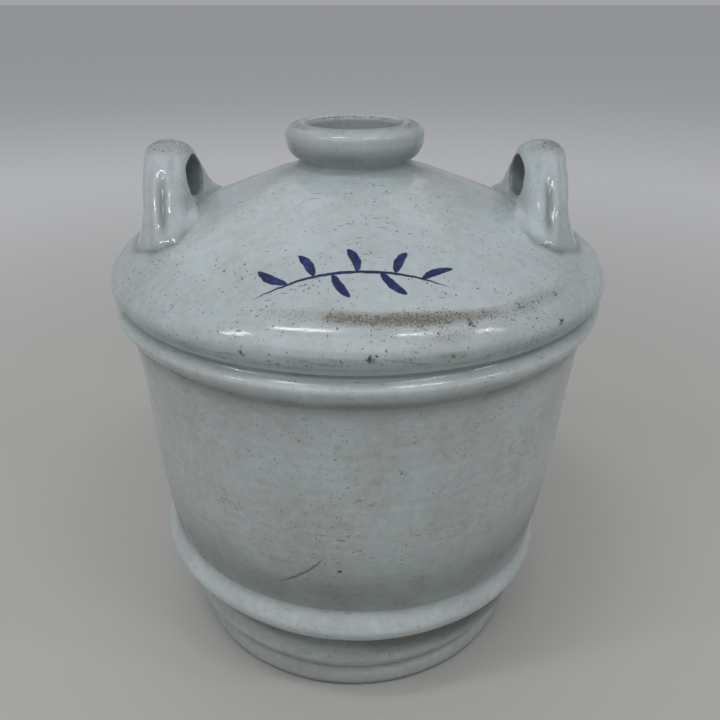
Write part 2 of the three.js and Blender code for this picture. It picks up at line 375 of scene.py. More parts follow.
def strongest(marks: Sequence[RingMark], point: Vector) -> float:
    """The strongest of several marks at a point in millimetres."""
    radius = math.hypot(point.x, point.y)
    turn = math.degrees(math.atan2(point.x, -point.y))
    return max(mark.strength(radius, point.z, turn) for mark in marks)


# Meshes

def turned(outline: Sequence[Point], steps: int = TURN_STEPS) -> bmesh.types.BMesh:
    """Turns a closed outline round the jar's axis.

    Args:
        outline: Points of (radius, height) in millimetres, in order round the section.
        steps: Steps in a full turn.

    Returns:
        A closed mesh in millimetres, its faces pointing out.
    """
    mesh = bmesh.new()
    verts = [mesh.verts.new((radius, 0, height)) for radius, height in outline]
    edges = [mesh.edges.new((a, b)) for a, b in zip(verts, verts[1:] + verts[:1])]
    bmesh.ops.spin(mesh, geom=verts + edges, cent=(0, 0, 0), axis=(0, 0, 1), angle=math.tau, steps=steps,
                   use_merge=True)
    bmesh.ops.remove_doubles(mesh, verts=mesh.verts, dist=WELD)
    bmesh.ops.recalc_face_normals(mesh, faces=mesh.faces)
    return mesh


def finished(mesh: bmesh.types.BMesh, node: str, finish: bpy.types.Material,
             crease: Callable[[Vector], float] | None = None,
             rub: Callable[[Vector], float] | None = None) -> bpy.types.Object:
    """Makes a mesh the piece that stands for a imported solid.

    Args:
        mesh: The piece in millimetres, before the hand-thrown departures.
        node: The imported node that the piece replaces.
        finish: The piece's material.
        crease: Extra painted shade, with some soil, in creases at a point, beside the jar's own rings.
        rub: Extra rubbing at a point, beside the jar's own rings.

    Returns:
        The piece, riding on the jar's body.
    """
    # The crease layer carries painted shade, with some soil, and the rub layer carries wear
    creases = mesh.verts.layers.float.new(CREASE)
    rubs = mesh.verts.layers.float.new(RUB)
    for vert in mesh.verts:
        place = vert.co.copy()
        vert[creases] = max(strongest(CREASE_SHADES, place), crease(place) if crease else 0.0)
        vert[rubs] = max(strongest(RUBS, place), rub(place) if rub else 0.0)
        vert.co = THROWN.moved(place)
    for face in mesh.faces:
        face.smooth = True
    data = bpy.data.meshes.new(node + "_fired")
    mesh.to_mesh(data)
    mesh.free()
    data.set_sharp_from_angle(angle=SHARP_ANGLE)
    data.materials.append(finish)
    piece = bpy.data.objects.new(node + "_fired", data)
    bpy.context.scene.collection.objects.link(piece)
    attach(piece, BODY)
    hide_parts(node)
    LOG.info("%s: %d faces", piece.name, len(data.polygons))
    return piece


def lap_seat(outer: float, inner: float, level: float) -> list[Point]:
    """The stepped top of a lower section, from its outside to its inside."""
    step = (outer + inner) / 2
    return [(outer, level), (step, level), (step, level - LAP_DEPTH), (inner, level - LAP_DEPTH)]


def lap_tongue(outer: float, inner: float, level: float) -> list[Point]:
    """The tongue under an upper section, from its inside to its outside."""
    step = (outer + inner) / 2
    return [(inner, level - LAP_DEPTH), (step, level - LAP_DEPTH), (step, level), (outer, level)]


# Materials

def linear(colour: str) -> tuple[float, float, float, float]:
    """A colour for a shader socket from an sRGB hex value such as #b4c0c1."""
    parts = [int(colour[i:i + 2], 16) / 255 for i in (1, 3, 5)]
    red, green, blue = [p / 12.92 if p <= 0.04045 else ((p + 0.055) / 1.055) ** 2.4 for p in parts]
    return red, green, blue, 1.0


def per_mm(size: float) -> float:
    """A texture scale on coordinates in metres for a pattern of this size in millimetres."""
    return 1 / (size * MM)


def add_node(tree: bpy.types.NodeTree, kind: str, inputs: dict | None = None, **settings) -> bpy.types.Node:
    """Adds a node with its settings and links.

    Args:
        tree: The node tree that it goes into.
        kind: The node's type name, without the ShaderNode in front.
        inputs: Values, or sockets to link from, by the input's name or number.
        settings: Properties of the node.

    Returns:
        The new node.
    """
    node = tree.nodes.new("ShaderNode" + kind)
    for name, value in settings.items():
        setattr(node, name, value)
    for name, value in (inputs or {}).items():
        if isinstance(value, bpy.types.NodeSocket):
            tree.links.new(value, node.inputs[name])
        else:
            node.inputs[name].default_value = value
    return node


def largest(tree: bpy.types.NodeTree, masks: Sequence[bpy.types.NodeSocket]) -> bpy.types.NodeSocket:
    """Adds the nodes that take the largest of several masks.

    Args:
        tree: The material's nodes.
        masks: The masks, at least one.

    Returns:
        The largest at each place.
    """
    found = masks[0]
    for mask in masks[1:]:
        found = add_node(tree, "Math", {0: found, 1: mask}, operation="MAXIMUM").outputs[0]
    return found


class Face(Enum):
    """The side from which a drawn stroke is laid out."""

    TOP = "top"
    FRONT = "front"


@dataclass(frozen=True)
class Stroke:
    """One tapered stroke on the jar, laid out in millimetres as seen from above or from the front."""

    start: Point
    end: Point
    width: float
    bow: float = 0.0
    face: Face = Face.TOP
    soft: float = 0.5

    def mask(self, tree: bpy.types.NodeTree, coords: bpy.types.NodeSocket) -> bpy.types.NodeSocket:
        """Adds the nodes that draw the stroke.

        Args:
            tree: The material's nodes.
            coords: The place on the jar, in metres.

        Returns:
            A mask that is 1 inside the stroke and 0 outside it, with a soft edge.
        """
        run = (self.end[0] - self.start[0], self.end[1] - self.start[1])
        place = add_node(tree, "SeparateXYZ", {0: coords})
        if self.face is Face.FRONT:
            coords = add_node(tree, "CombineXYZ", {0: place.outputs[0], 1: place.outputs[2]}).outputs[0]
        local = add_node(tree, "Mapping", {
            "Vector": coords,
            "Location": (self.start[0] * MM, self.start[1] * MM, 0),
            "Rotation": (0, 0, math.atan2(run[1], run[0])),
            "Scale": (math.hypot(*run) * MM, MM, 1),
        }, vector_type="TEXTURE")
        parts = add_node(tree, "SeparateXYZ", {0: local.outputs[0]})
        left = add_node(tree, "Math", {0: 1.0, 1: parts.outputs[0]}, operation="SUBTRACT")
        lens = add_node(tree, "Math", {0: parts.outputs[0], 1: left.outputs[0]}, operation="MULTIPLY")
        full = add_node(tree, "Math", {0: lens.outputs[0], 1: 0.0}, operation="MAXIMUM")
        # The bow is a parabola through both ends, and the lens is a quarter high in its middle
        bowed = add_node(tree, "Math", {0: full.outputs[0], 1: -4 * self.bow, 2: parts.outputs[1]},
                         operation="MULTIPLY_ADD")
        off = add_node(tree, "Math", {0: bowed.outputs[0]}, operation="ABSOLUTE")
        girth = add_node(tree, "Math", {0: full.outputs[0], 1: 0.5}, operation="POWER")
        room = add_node(tree, "Math", {0: girth.outputs[0], 1: self.width}, operation="MULTIPLY")
        edge = add_node(tree, "Math", {0: room.outputs[0], 1: off.outputs[0]}, operation="SUBTRACT")
        drawn = add_node(tree, "MapRange", {0: edge.outputs[0], 1: 0.0, 2: self.soft}).outputs[0]
        if self.face is Face.FRONT:
            near = add_node(tree, "Math", {0: place.outputs[1], 1: 0.0}, operation="LESS_THAN")
            drawn = add_node(tree, "Math", {0: drawn, 1: near.outputs[0]}, operation="MULTIPLY").outputs[0]
        return drawn


@dataclass(frozen=True)
class Chip:
    """A small knock through the glaze, at an angle from the front in degrees, at a height and a radius."""

    angle: float
    height: float
    radius: float
    size: float

    def mask(self, tree: bpy.types.NodeTree, coords: bpy.types.NodeSocket) -> bpy.types.NodeSocket:
        """Adds the nodes that knock the chip out.

        Args:
            tree: The material's nodes.
            coords: The place on the jar, in metres.

        Returns:
            A mask that is 1 inside the chip and 0 outside it.
        """
        turn = math.radians(self.angle)
        place = Vector((math.sin(turn) * self.radius, -math.cos(turn) * self.radius, self.height)) * MM
        away = add_node(tree, "VectorMath", {0: coords, 1: place}, operation="DISTANCE")
        return add_node(tree, "MapRange", {
            0: away.outputs[1], 1: self.size * MM, 2: self.size * MM * 0.5}).outputs[0]


@dataclass(frozen=True)
class Flecks:
    """A scatter of dark flecks: spots where their cells are even, scuffs where the cells are long.

    The surface cuts only some of the cells near their middles, so the flecks come in all sizes.
    """

    cell: tuple[float, float, float]
    turn: tuple[float, float, float] = (0.0, 0.0, 0.0)
    share: float = 0.6
    girth: float = 0.16
    edge: float = 0.06
    strength: float = 0.7
    crowding: float = 1.4
    tone_low: float = 1.7
    tone_high: float = 1.85

    def mask(self, tree: bpy.types.NodeTree, coords: bpy.types.NodeSocket,
             crowd: bpy.types.NodeSocket) -> bpy.types.NodeSocket:
        """Adds the nodes that scatter the flecks.

        Args:
            tree: The material's nodes.
            coords: The place on the jar, in metres.
            crowd: Where the flecks crowd together.

        Returns:
            A mask that is dark inside the flecks and 0 outside them.
        """
        grid = add_node(tree, "Mapping", {
            "Vector": coords, "Rotation": self.turn, "Scale": tuple(per_mm(size) for size in self.cell)})
        cells = add_node(tree, "TexVoronoi", {"Vector": grid.outputs[0], "Scale": 1.0})
        tone = add_node(tree, "SeparateColor", {0: cells.outputs["Color"]})
        crowded = add_node(tree, "Math", {
            0: crowd, 1: self.crowding, 2: tone.outputs[0]}, operation="MULTIPLY_ADD")
        size = add_node(tree, "MapRange", {
            0: crowded.outputs[0], 1: self.tone_low - self.share, 2: self.tone_high, 3: 0.0, 4: self.girth})
        inside = add_node(tree, "Math", {
            0: size.outputs[0], 1: cells.outputs["Distance"]}, operation="SUBTRACT")
        return add_node(tree, "MapRange", {
            0: inside.outputs[0], 1: 0.0, 2: self.edge, 3: 0.0, 4: self.strength}).outputs[0]


# A leafy twig in cobalt, the commonest of brush ornaments
TWIG: tuple[Stroke, ...] = (
    Stroke((-54, -138), (52, -131), 2.6, bow=9),
    Stroke((-36, -131), (-53, -119), 5.6, bow=1.5),
    Stroke((-22, -128), (-31, -111), 6.0, bow=-1.5),
    Stroke((-12, -127), (-2, -142), 5.6, bow=-1.2),
    Stroke((2, -125), (-4, -108), 6.0, bow=-1.5),
    Stroke((14, -125), (28, -139), 5.8, bow=-1.4),
    Stroke((22, -125), (29, -109), 5.8, bow=1.2),
    Stroke((36, -128), (54, -117), 5.2, bow=1.4),
)
# One long curved scrape low on the front and finer ones beside it
SCRAPES: tuple[Stroke, ...] = (
    Stroke((-51, 110.5), (-17.5, 141), 2.6, bow=-3.0, face=Face.FRONT, soft=1.0),
    Stroke((-60, 131), (-22, 129), 0.8, bow=0.8, face=Face.FRONT, soft=0.8),
    Stroke((-104, 183), (-101, 166), 1.2, bow=0.6, face=Face.FRONT, soft=0.8),
    Stroke((92, 104), (97, 112), 1.4, face=Face.FRONT, soft=0.8),
)
# Scuffs along the shoulder's widest line, where it has been slid past others
SHOULDER_SCRAPES: tuple[Stroke, ...] = (
    Stroke((-28, 285), (-2, 281.5), 1.3, bow=-0.7, face=Face.FRONT, soft=0.9),
    Stroke((-22, 282.5), (-12, 281), 1.1, bow=0.4, face=Face.FRONT, soft=0.9),
    Stroke((14, 287), (47, 281), 1.3, bow=-1.3, face=Face.FRONT, soft=0.9),
    Stroke((22, 282), (41, 281), 1.1, bow=-0.5, face=Face.FRONT, soft=0.9),
    Stroke((-74, 281), (-58, 283), 1.2, bow=0.5, face=Face.FRONT, soft=0.9),
)
SHOULDER_CHIPS: tuple[Chip, ...] = (
    Chip(2.7, 285.0, 168.9, 2.3),
    Chip(3.9, 286.6, 168.6, 1.5),
    Chip(-20.4, 283.5, 168.8, 1.9),
    Chip(-15.2, 281.1, 168.5, 1.4),
    Chip(42.9, 286.2, 168.7, 2.4),
    Chip(22.0, 296.4, 160.9, 2.2),
    Chip(22.6, 295.0, 162.4, 1.5),
    Chip(45.5, 298.0, 158.8, 2.0),
    Chip(150.0, 288.0, 166.5, 2.4),
    Chip(-115.0, 284.0, 168.0, 2.2),
    Chip(27.0, 339.0, 61.5, 1.6),
)
WALL_CHIPS: tuple[Chip, ...] = (
    Chip(-3.8, 127.4, 149.3, 1.8),
    Chip(-47.0, 226.0, 158.5, 2.0),
    Chip(-45.6, 227.5, 158.5, 1.6),
    Chip(20.0, 170.0, 155.0, 1.5),
    Chip(139.0, 190.0, 156.4, 2.0),
    Chip(-128.0, 150.0, 152.6, 1.8),
)
IRON_SPOTS = Flecks(cell=(2.5, 2.5, 2.5), share=0.84, girth=0.32, strength=0.72)
LARGE_SPOTS = Flecks(cell=(14.0, 14.0, 14.0), share=0.66, girth=0.09, edge=0.02, strength=0.75)
SLANTED_SCUFFS = Flecks(cell=(12.0, 2.0, 4.0), turn=(0.3, 0.2, 0.6),
                        share=0.80, girth=0.30, edge=0.10, strength=0.52)
LEVEL_SCUFFS = Flecks(cell=(9.0, 9.0, 1.5), turn=(0.05, 0.04, 0.0),
                      share=0.78, girth=0.30, edge=0.10, strength=0.58)
BURST_BUBBLES = Flecks(cell=(2.1, 2.1, 2.1), share=0.45, girth=0.42, edge=0.10, strength=0.85)


@dataclass(frozen=True)
class GlazeFinish:
    """Feldspar glaze on stoneware, as one part of the jar wears it.

    The glaze is clear with a cool cast, so it shows pale and bluish where it is even, greener where it runs
    together, and brown-grey where it is rubbed through and holds soil. Its creases and undersides are
    darkened with painted shade in the colours of gathered glaze and soil.
    """

    name: str
    even: str = "#bfcacd"
    thin: str = "#afb7b7"
    pooled_glaze_and_shade: str = "#75837f"
    # The darkest colour: soil in pits and broken bubbles, and painted shade in the creases
    dirt_and_shade: str = "#5f5b51"
    haze: str = "#87857d"
    iron: str = "#383732"
    roughness: float = 0.11
    streak: float = 0.12
    grit: float = 0.85
    specked: float = 1.0
    flecks: tuple[Flecks, ...] = (IRON_SPOTS, LARGE_SPOTS, SLANTED_SCUFFS)
    brushwork: tuple[Stroke, ...] = ()
    scrapes: tuple[Stroke, ...] = ()
    chips: tuple[Chip, ...] = ()
    cobalt: str = "#121d4f"
    cobalt_washed: str = "#2f4283"
    mottle_size: float = 6.0
    patch_size: float = 24.0
    cloud_size: float = 52.0
    run_width: float = 13.0
    run_length: float = 160.0
    wave_size: float = 15.0
    grit_size: float = 0.8
    speck_drift: float = 1.8
    speck_drift_size: float = 1.7
    brush_shake: float = 1.6
    brush_shake_size: float = 5.0
    chip_tear: float = 7.0
    chip_tear_size: float = 1.9
    bump_height: float = 0.5

    def material(self) -> bpy.types.Material:
        """Builds the finish's node material.

        Returns:
            The material.
        """
        material = bpy.data.materials.new(self.name)
        material.use_nodes = True
        tree = material.node_tree
        shader = tree.nodes["Principled BSDF"]
        shader.inputs["IOR"].default_value = 1.5
        coords = add_node(tree, "TexCoord").outputs["Object"]
        # The crease layer: painted shade in creases and under overhangs, with some soil
        crease = add_node(tree, "Attribute", attribute_name=CREASE).outputs["Fac"]
        rub = add_node(tree, "Attribute", attribute_name=RUB).outputs["Fac"]
        mottle = add_node(tree, "TexNoise", {
            "Vector": coords, "Scale": per_mm(self.mottle_size), "Detail": 4.0, "Roughness": 0.65}).outputs[0]
        patch = add_node(tree, "TexNoise", {
            "Vector": coords, "Scale": per_mm(self.patch_size), "Detail": 4.0, "Roughness": 0.65}).outputs[0]
        colour = self.glaze_colour(tree, coords, mottle, crease)
        if self.brushwork:
            colour = self.painted(tree, coords, mottle, colour)
        # Specks drift in the melt, so their places are shaken a little and none stays round
        shake = add_node(tree, "TexNoise", {
            "Vector": coords, "Scale": per_mm(self.speck_drift_size), "Detail": 2.0}).outputs[1]
        shaken = add_node(tree, "VectorMath", {
            0: shake, 1: (self.speck_drift * MM,) * 3, 2: coords}, operation="MULTIPLY_ADD").outputs[0]
        colour, worn = self.marked(tree, coords, shaken, patch, colour)
        # Wear and soil, and painted shade in the creases
        colour, dirt_and_shade_mask = self.soiled_and_shaded(tree, shaken, patch, rub, crease, colour)
        tree.links.new(colour, shader.inputs["Base Color"])

        # Gloss, dulled by scuffs, haze and pits
        dulled = largest(tree, [worn, dirt_and_shade_mask])
        gloss = add_node(tree, "MapRange", {
            0: mottle, 1: 0.3, 2: 0.7, 3: self.roughness - 0.03, 4: self.roughness + 0.05}).outputs[0]
        rough = add_node(tree, "Math", {0: dulled, 1: 0.4, 2: gloss}, operation="MULTIPLY_ADD").outputs[0]
        tree.links.new(rough, shader.inputs["Roughness"])

        # Surface: a slow waviness, fine orange peel, and the pits sunk in it
        wave = add_node(tree, "TexNoise", {
            "Vector": coords, "Scale": per_mm(self.wave_size), "Detail": 1.0}).outputs[0]
        peel = add_node(tree, "Math", {0: mottle, 1: 0.16, 2: wave}, operation="MULTIPLY_ADD").outputs[0]
        sunk = add_node(tree, "Math", {0: dulled, 1: -0.3, 2: peel}, operation="MULTIPLY_ADD").outputs[0]
        bump = add_node(tree, "Bump", {
            "Height": sunk, "Strength": 0.3, "Distance": self.bump_height * MM}).outputs[0]
        tree.links.new(bump, shader.inputs["Normal"])
        return material

    def glaze_colour(self, tree: bpy.types.NodeTree, coords: bpy.types.NodeSocket,
                     mottle: bpy.types.NodeSocket, crease: bpy.types.NodeSocket) -> bpy.types.NodeSocket:
        """Adds the glaze's cloudy depth: broad clouds, a mottle, runs down the wall and painted shade in the
        creases.

        Args:
            tree: The material's nodes.
            coords: The place on the jar, in metres.
            mottle: The fine mottle that all the glaze's patterns share.
            crease: How much painted shade lies there, drawn in the gathered glaze's colour.

        Returns:
            The glaze's colour.
        """
        cloud = add_node(tree, "TexNoise", {
            "Vector": coords, "Scale": per_mm(self.cloud_size), "Detail": 3.0, "Roughness": 0.6}).outputs[0]
        stretch = [per_mm(size) for size in (self.run_width, self.run_width, self.run_length)]
        drawn = add_node(tree, "Mapping", {"Vector": coords, "Scale": stretch}).outputs[0]
        runs = add_node(tree, "TexNoise", {"Vector": drawn, "Scale": 1.0, "Detail": 4.0}).outputs[0]
        clouded = add_node(tree, "Mix", {0: 0.45, 2: cloud, 3: mottle}).outputs[0]
        depth = add_node(tree, "Mix", {0: self.streak, 2: clouded, 3: runs}).outputs[0]
        share = add_node(tree, "MapRange", {0: depth, 1: 0.36, 2: 0.60}).outputs[0]
        colour = add_node(tree, "Mix", {
            0: share, 6: linear(self.thin), 7: linear(self.even)}, data_type="RGBA").outputs[2]
        # Painted shade: creases darken towards the colour of gathered glaze
        gathered = add_node(tree, "Math", {0: crease, 1: 0.8}, operation="MULTIPLY").outputs[0]
        return add_node(tree, "Mix", {
            0: gathered, 6: colour, 7: linear(self.pooled_glaze_and_shade)}, data_type="RGBA").outputs[2]

    def painted(self, tree: bpy.types.NodeTree, coords: bpy.types.NodeSocket, mottle: bpy.types.NodeSocket,
                colour: bpy.types.NodeSocket) -> bpy.types.NodeSocket:
        """Adds cobalt brushwork under the glaze, its edges shaken a little and its load uneven.

        Args:
            tree: The material's nodes.
            coords: The place on the jar, in metres.
            mottle: The fine mottle, which thins the brush's load.
            colour: The glaze's colour.

        Returns:
            The colour with the brushwork in it.
        """
        shake = add_node(tree, "TexNoise", {
            "Vector": coords, "Scale": per_mm(self.brush_shake_size), "Detail": 2.0}).outputs[1]
        moved = add_node(tree, "VectorMath", {
            0: shake, 1: (self.brush_shake * MM,) * 3, 2: coords}, operation="MULTIPLY_ADD").outputs[0]
        centred = add_node(tree, "VectorMath", {
            0: moved, 1: (self.brush_shake / 2 * MM,) * 3}, operation="SUBTRACT").outputs[0]
        covered = largest(tree, [stroke.mask(tree, centred) for stroke in self.brushwork])
        load = add_node(tree, "MapRange", {0: mottle, 1: 0.30, 2: 0.52}).outputs[0]
        blue = add_node(tree, "Mix", {
            0: load, 6: linear(self.cobalt_washed), 7: linear(self.cobalt)}, data_type="RGBA").outputs[2]
        return add_node(tree, "Mix", {0: covered, 6: colour, 7: blue}, data_type="RGBA").outputs[2]

    def marked(self, tree: bpy.types.NodeTree, coords: bpy.types.NodeSocket, shaken: bpy.types.NodeSocket,
               patch: bpy.types.NodeSocket, colour: bpy.types.NodeSocket,
               ) -> tuple[bpy.types.NodeSocket, bpy.types.NodeSocket]:
        """Adds specks, scuffs, scrapes and chips.

        Real iron specks are under half a millimetre across, and are drawn a little larger so that they show.

        Args:
            tree: The material's nodes.
            coords: The place on the jar, in metres.
            shaken: The same place, moved a little so that no speck is round.
            patch: Where the specks crowd together.
            colour: The colour under the marks.

        Returns:
            The colour with the marks on it, and the marks' mask.
        """
        specks = largest(tree, [fleck.mask(tree, shaken, patch) for fleck in self.flecks])
        masks = [add_node(tree, "Math", {0: specks, 1: self.specked}, operation="MULTIPLY").outputs[0]]
        if self.chips or self.scrapes:
            ragged = add_node(tree, "TexNoise", {
                "Vector": coords, "Scale": per_mm(self.chip_tear_size), "Detail": 3.0,
                "Roughness": 0.7}).outputs[1]
            torn = add_node(tree, "VectorMath", {
                0: ragged, 1: (self.chip_tear * MM,) * 3, 2: coords}, operation="MULTIPLY_ADD").outputs[0]
            even = add_node(tree, "VectorMath", {
                0: torn, 1: (self.chip_tear / 2 * MM,) * 3}, operation="SUBTRACT").outputs[0]
            masks += [chip.mask(tree, even) for chip in self.chips]
        if self.scrapes:
            scraped = largest(tree, [scrape.mask(tree, shaken) for scrape in self.scrapes])
            masks.append(add_node(tree, "Math", {0: scraped, 1: 0.7}, operation="MULTIPLY").outputs[0])
        dark = largest(tree, masks)
        return add_node(tree, "Mix", {
            0: dark, 6: colour, 7: linear(self.iron)}, data_type="RGBA").outputs[2], dark

    def soiled_and_shaded(self, tree: bpy.types.NodeTree, coords: bpy.types.NodeSocket, patch: bpy.types.NodeSocket,
               rub: bpy.types.NodeSocket, crease: bpy.types.NodeSocket,
               colour: bpy.types.NodeSocket) -> tuple[bpy.types.NodeSocket, bpy.types.NodeSocket]:
        """Adds rubbed places, a brown haze with soil in the glaze's broken bubbles, and painted shade in the
        creases.

        Args:
            tree: The material's nodes.
            coords: The place on the jar, in metres.
            patch: How patchy the wear is.
            rub: How rubbed the glaze is.
            crease: How much painted shade lies in the creases.
            colour: The colour under the soil and painted shade.

        Returns:
            The colour with the soil and painted shade on it, and their mask.
        """
        grit = add_node(tree, "TexNoise", {
            "Vector": coords, "Scale": per_mm(self.grit_size), "Detail": 2.0, "Roughness": 0.7}).outputs[0]
        patchy = add_node(tree, "MapRange", {0: patch, 1: 0.3, 2: 0.65, 3: 0.6, 4: 1.2}).outputs[0]
        worn = add_node(tree, "Math", {0: rub, 1: patchy}, operation="MULTIPLY").outputs[0]
        hazed = add_node(tree, "MapRange", {0: worn, 1: 0.35, 2: 0.9, 3: 0.0, 4: 0.8 * self.grit}).outputs[0]
        # Painted shade: the crease layer, made patchy, darkens the creases towards the darkest colour
        silt_and_shade = add_node(tree, "Math", {0: crease, 1: patchy}, operation="MULTIPLY").outputs[0]
        silted_and_shaded = add_node(tree, "MapRange", {0: silt_and_shade, 1: 0.5, 2: 1.2, 3: 0.0, 4: 0.55}).outputs[0]
        colour = add_node(tree, "Mix", {
            0: hazed, 6: colour, 7: linear(self.haze)}, data_type="RGBA").outputs[2]
        pitted = add_node(tree, "Math", {0: worn, 1: 0.21, 2: grit}, operation="MULTIPLY_ADD").outputs[0]
        pits = add_node(tree, "MapRange", {0: pitted, 1: 0.70, 2: 0.76, 3: 0.0, 4: self.grit}).outputs[0]
        pits = largest(tree, [pits, silted_and_shaded, BURST_BUBBLES.mask(tree, coords, worn)])
        soiled_and_shaded = add_node(tree, "Mix", {
            0: pits, 6: colour, 7: linear(self.dirt_and_shade)}, data_type="RGBA").outputs[2]
        return soiled_and_shaded, largest(tree, [hazed, pits])


@dataclass(frozen=True)
class ClayFinish:
    """Bare fired stoneware: matt and buff, with turning lines and grog that the eye reads as fine sand."""

    name: str
    light: str = "#a79d8b"
    dark: str = "#7f7668"
    roughness: float = 0.82
    patch_size: float = 22.0
    ring_pitch: float = 12.0
    grog_size: float = 1.6
    bump_height: float = 0.4

    def material(self) -> bpy.types.Material:
        """Builds the finish's node material.

        Returns:
            The material.
        """
        material = bpy.data.materials.new(self.name)
        material.use_nodes = True
        tree = material.node_tree
        shader = tree.nodes["Principled BSDF"]
        shader.inputs["IOR"].default_value = 1.45
        shader.inputs["Roughness"].default_value = self.roughness
        coords = add_node(tree, "TexCoord").outputs["Object"]
        body = add_node(tree, "TexNoise", {
            "Vector": coords, "Scale": per_mm(self.patch_size), "Detail": 5.0, "Roughness": 0.65}).outputs[0]
        rings = add_node(tree, "TexWave", {
            "Vector": coords, "Scale": per_mm(self.ring_pitch), "Distortion": 1.5, "Detail": 2.0},
            wave_type="RINGS", rings_direction="Z").outputs[1]
        grog = add_node(tree, "TexNoise", {
            "Vector": coords, "Scale": per_mm(self.grog_size), "Detail": 3.0, "Roughness": 0.7}).outputs[0]
        share = add_node(tree, "Mix", {0: 0.3, 2: body, 3: rings}).outputs[0]
        colour = add_node(tree, "Mix", {
            0: share, 6: linear(self.dark), 7: linear(self.light)}, data_type="RGBA").outputs[2]
        tree.links.new(colour, shader.inputs["Base Color"])
        height = add_node(tree, "Math", {0: rings, 1: 0.5, 2: grog}, operation="MULTIPLY_ADD").outputs[0]
        bump = add_node(tree, "Bump", {
            "Height": height, "Strength": 0.5, "Distance": self.bump_height * MM}).outputs[0]
        tree.links.new(bump, shader.inputs["Normal"])
        return material


WALL_FLECKS = (IRON_SPOTS, LARGE_SPOTS, SLANTED_SCUFFS, LEVEL_SCUFFS)
FINISHES: dict[Slot, GlazeFinish | ClayFinish] = {
    # Thin and rubbed by the table, so duller and greyer than the rest
    Slot.FOOT: GlazeFinish("worn_thin_feldspar_glaze", even="#b9c1c0", thin="#a6aba8", roughness=0.2,
                           specked=0.5),
    # Dry, buff and sandy, with the lines of the turning tool
    Slot.CLAY: ClayFinish("bare_fired_stoneware"),
    # An even satin skin, finely specked, with level scuffs and one long scrape
    Slot.WALL: GlazeFinish("feldspar_glaze_on_the_wall", even="#bdc6c6", thin="#a9afad", roughness=0.17,
                           specked=0.8, flecks=WALL_FLECKS, scrapes=SCRAPES, chips=WALL_CHIPS),
    # Paler than the wall, partly painted light for the light on the hoops' upturned faces, and glossier
    Slot.HOOP: GlazeFinish("feldspar_glaze_on_the_hoops", even="#c7d0d1", thin="#b3baba", roughness=0.14,
                           specked=0.5, flecks=WALL_FLECKS),
    # The thickest and palest, clear enough to show the cobalt under it
    Slot.SHOULDER: GlazeFinish("feldspar_glaze_over_cobalt", streak=0.05, brushwork=TWIG,
                               chips=SHOULDER_CHIPS, scrapes=SHOULDER_SCRAPES),
    # Painted shade in a dark grey under the rim, with soil on the rolled edge
    Slot.NECK: GlazeFinish("feldspar_glaze_on_the_neck", even="#b9c3c4", streak=0.05, grit=0.7, specked=0.35,
                           pooled_glaze_and_shade="#7b817f", dirt_and_shade="#484843", haze="#8a8b87"),
    # The glossiest, darkened by painted shade in the pressed grooves, the hole and the feet
    Slot.EAR: GlazeFinish("feldspar_glaze_on_the_ears", streak=0.05, roughness=0.1, grit=0.7, specked=0.4,
                          dirt_and_shade="#484843", haze="#8a8b87"),
}


# Sections of the jar

@dataclass
class Foot:
    """The turned foot and the slab that closes the jar."""

    ring_width: float = 24.0
    recess: float = 6.0
    lip: float = 3.0
    lip_level: float = 8.4
    groove: float = 1.6
    groove_drop: float = 2.1
    floor_thickness: float = 13.0
    edge: float = 1.5
    under_ripple: float = 0.6
    under_pitch: float = 9.0
    under_reach: float = 100.0
    over_ripple: float = 0.5
    over_pitch: float = 7.0
    over_reach: float = 110.0
    ripple_start: float = 20.0
    slab_steps: int = 60

    def ring_outline(self) -> list[Point]:
        """The ring's section, from its contact edge up the outside and down the inside.

        Returns:
            The closed outline.
        """
        inner = JAR.foot_radius - WALL_THICKNESS
        contact = JAR.foot_radius - self.lip
        ledge = contact - self.ring_width
        lip = arc((contact, self.lip_level), self.lip, self.lip_level, -90, 48, 16)
        top = JAR.foot_level
        groove = bend(lip[-1], (JAR.foot_radius - self.groove * 1.8, top - self.groove_drop * 1.6),
                      (JAR.foot_radius - self.groove, top - self.groove_drop), 6)
        seat = bend(groove[-1], (JAR.foot_radius - self.groove * 0.3, top - self.groove_drop * 0.5),
                    (JAR.foot_radius, top), 5)
        hollow = arc((ledge + self.edge, self.edge), self.edge, self.edge, 180, 270, 5)
        return [*lip, *groove[1:], *seat[1:-1], *lap_seat(JAR.foot_radius, inner, top), (inner, self.recess),
                (ledge, self.recess), *hollow]

    def slab_outline(self) -> list[Point]:
        """The slab's section, rippled above and below by the fingers that opened and wiped it.

        Returns:
            The closed outline.
        """
        radius = JAR.foot_radius - WALL_THICKNESS
        top = self.recess + self.floor_thickness
        under, over = [], []
        for reach in spread(0, self.under_reach, self.slab_steps):
            ripple = self.under_ripple * math.sin(reach / self.under_pitch)
            under.append((reach, self.recess + ripple * ease(reach, 0, self.ripple_start)))
        for reach in spread(self.over_reach, 0, self.slab_steps):
            ripple = self.over_ripple * math.sin(reach / self.over_pitch)
            over.append((reach, top + ripple * ease(reach, 0, self.ripple_start) - self.over_ripple))
        return [*under, (radius, self.recess), (radius, top), *over]

    def build(self, finishes: dict[Slot, bpy.types.Material]) -> None:
        """Makes and dresses the two pieces.

        Args:
            finishes: The jar's materials.
        """
        finished(turned(self.ring_outline()), "foot_ring", finishes[Slot.FOOT])
        finished(turned(self.slab_outline()), "floor_disc", finishes[Slot.CLAY])


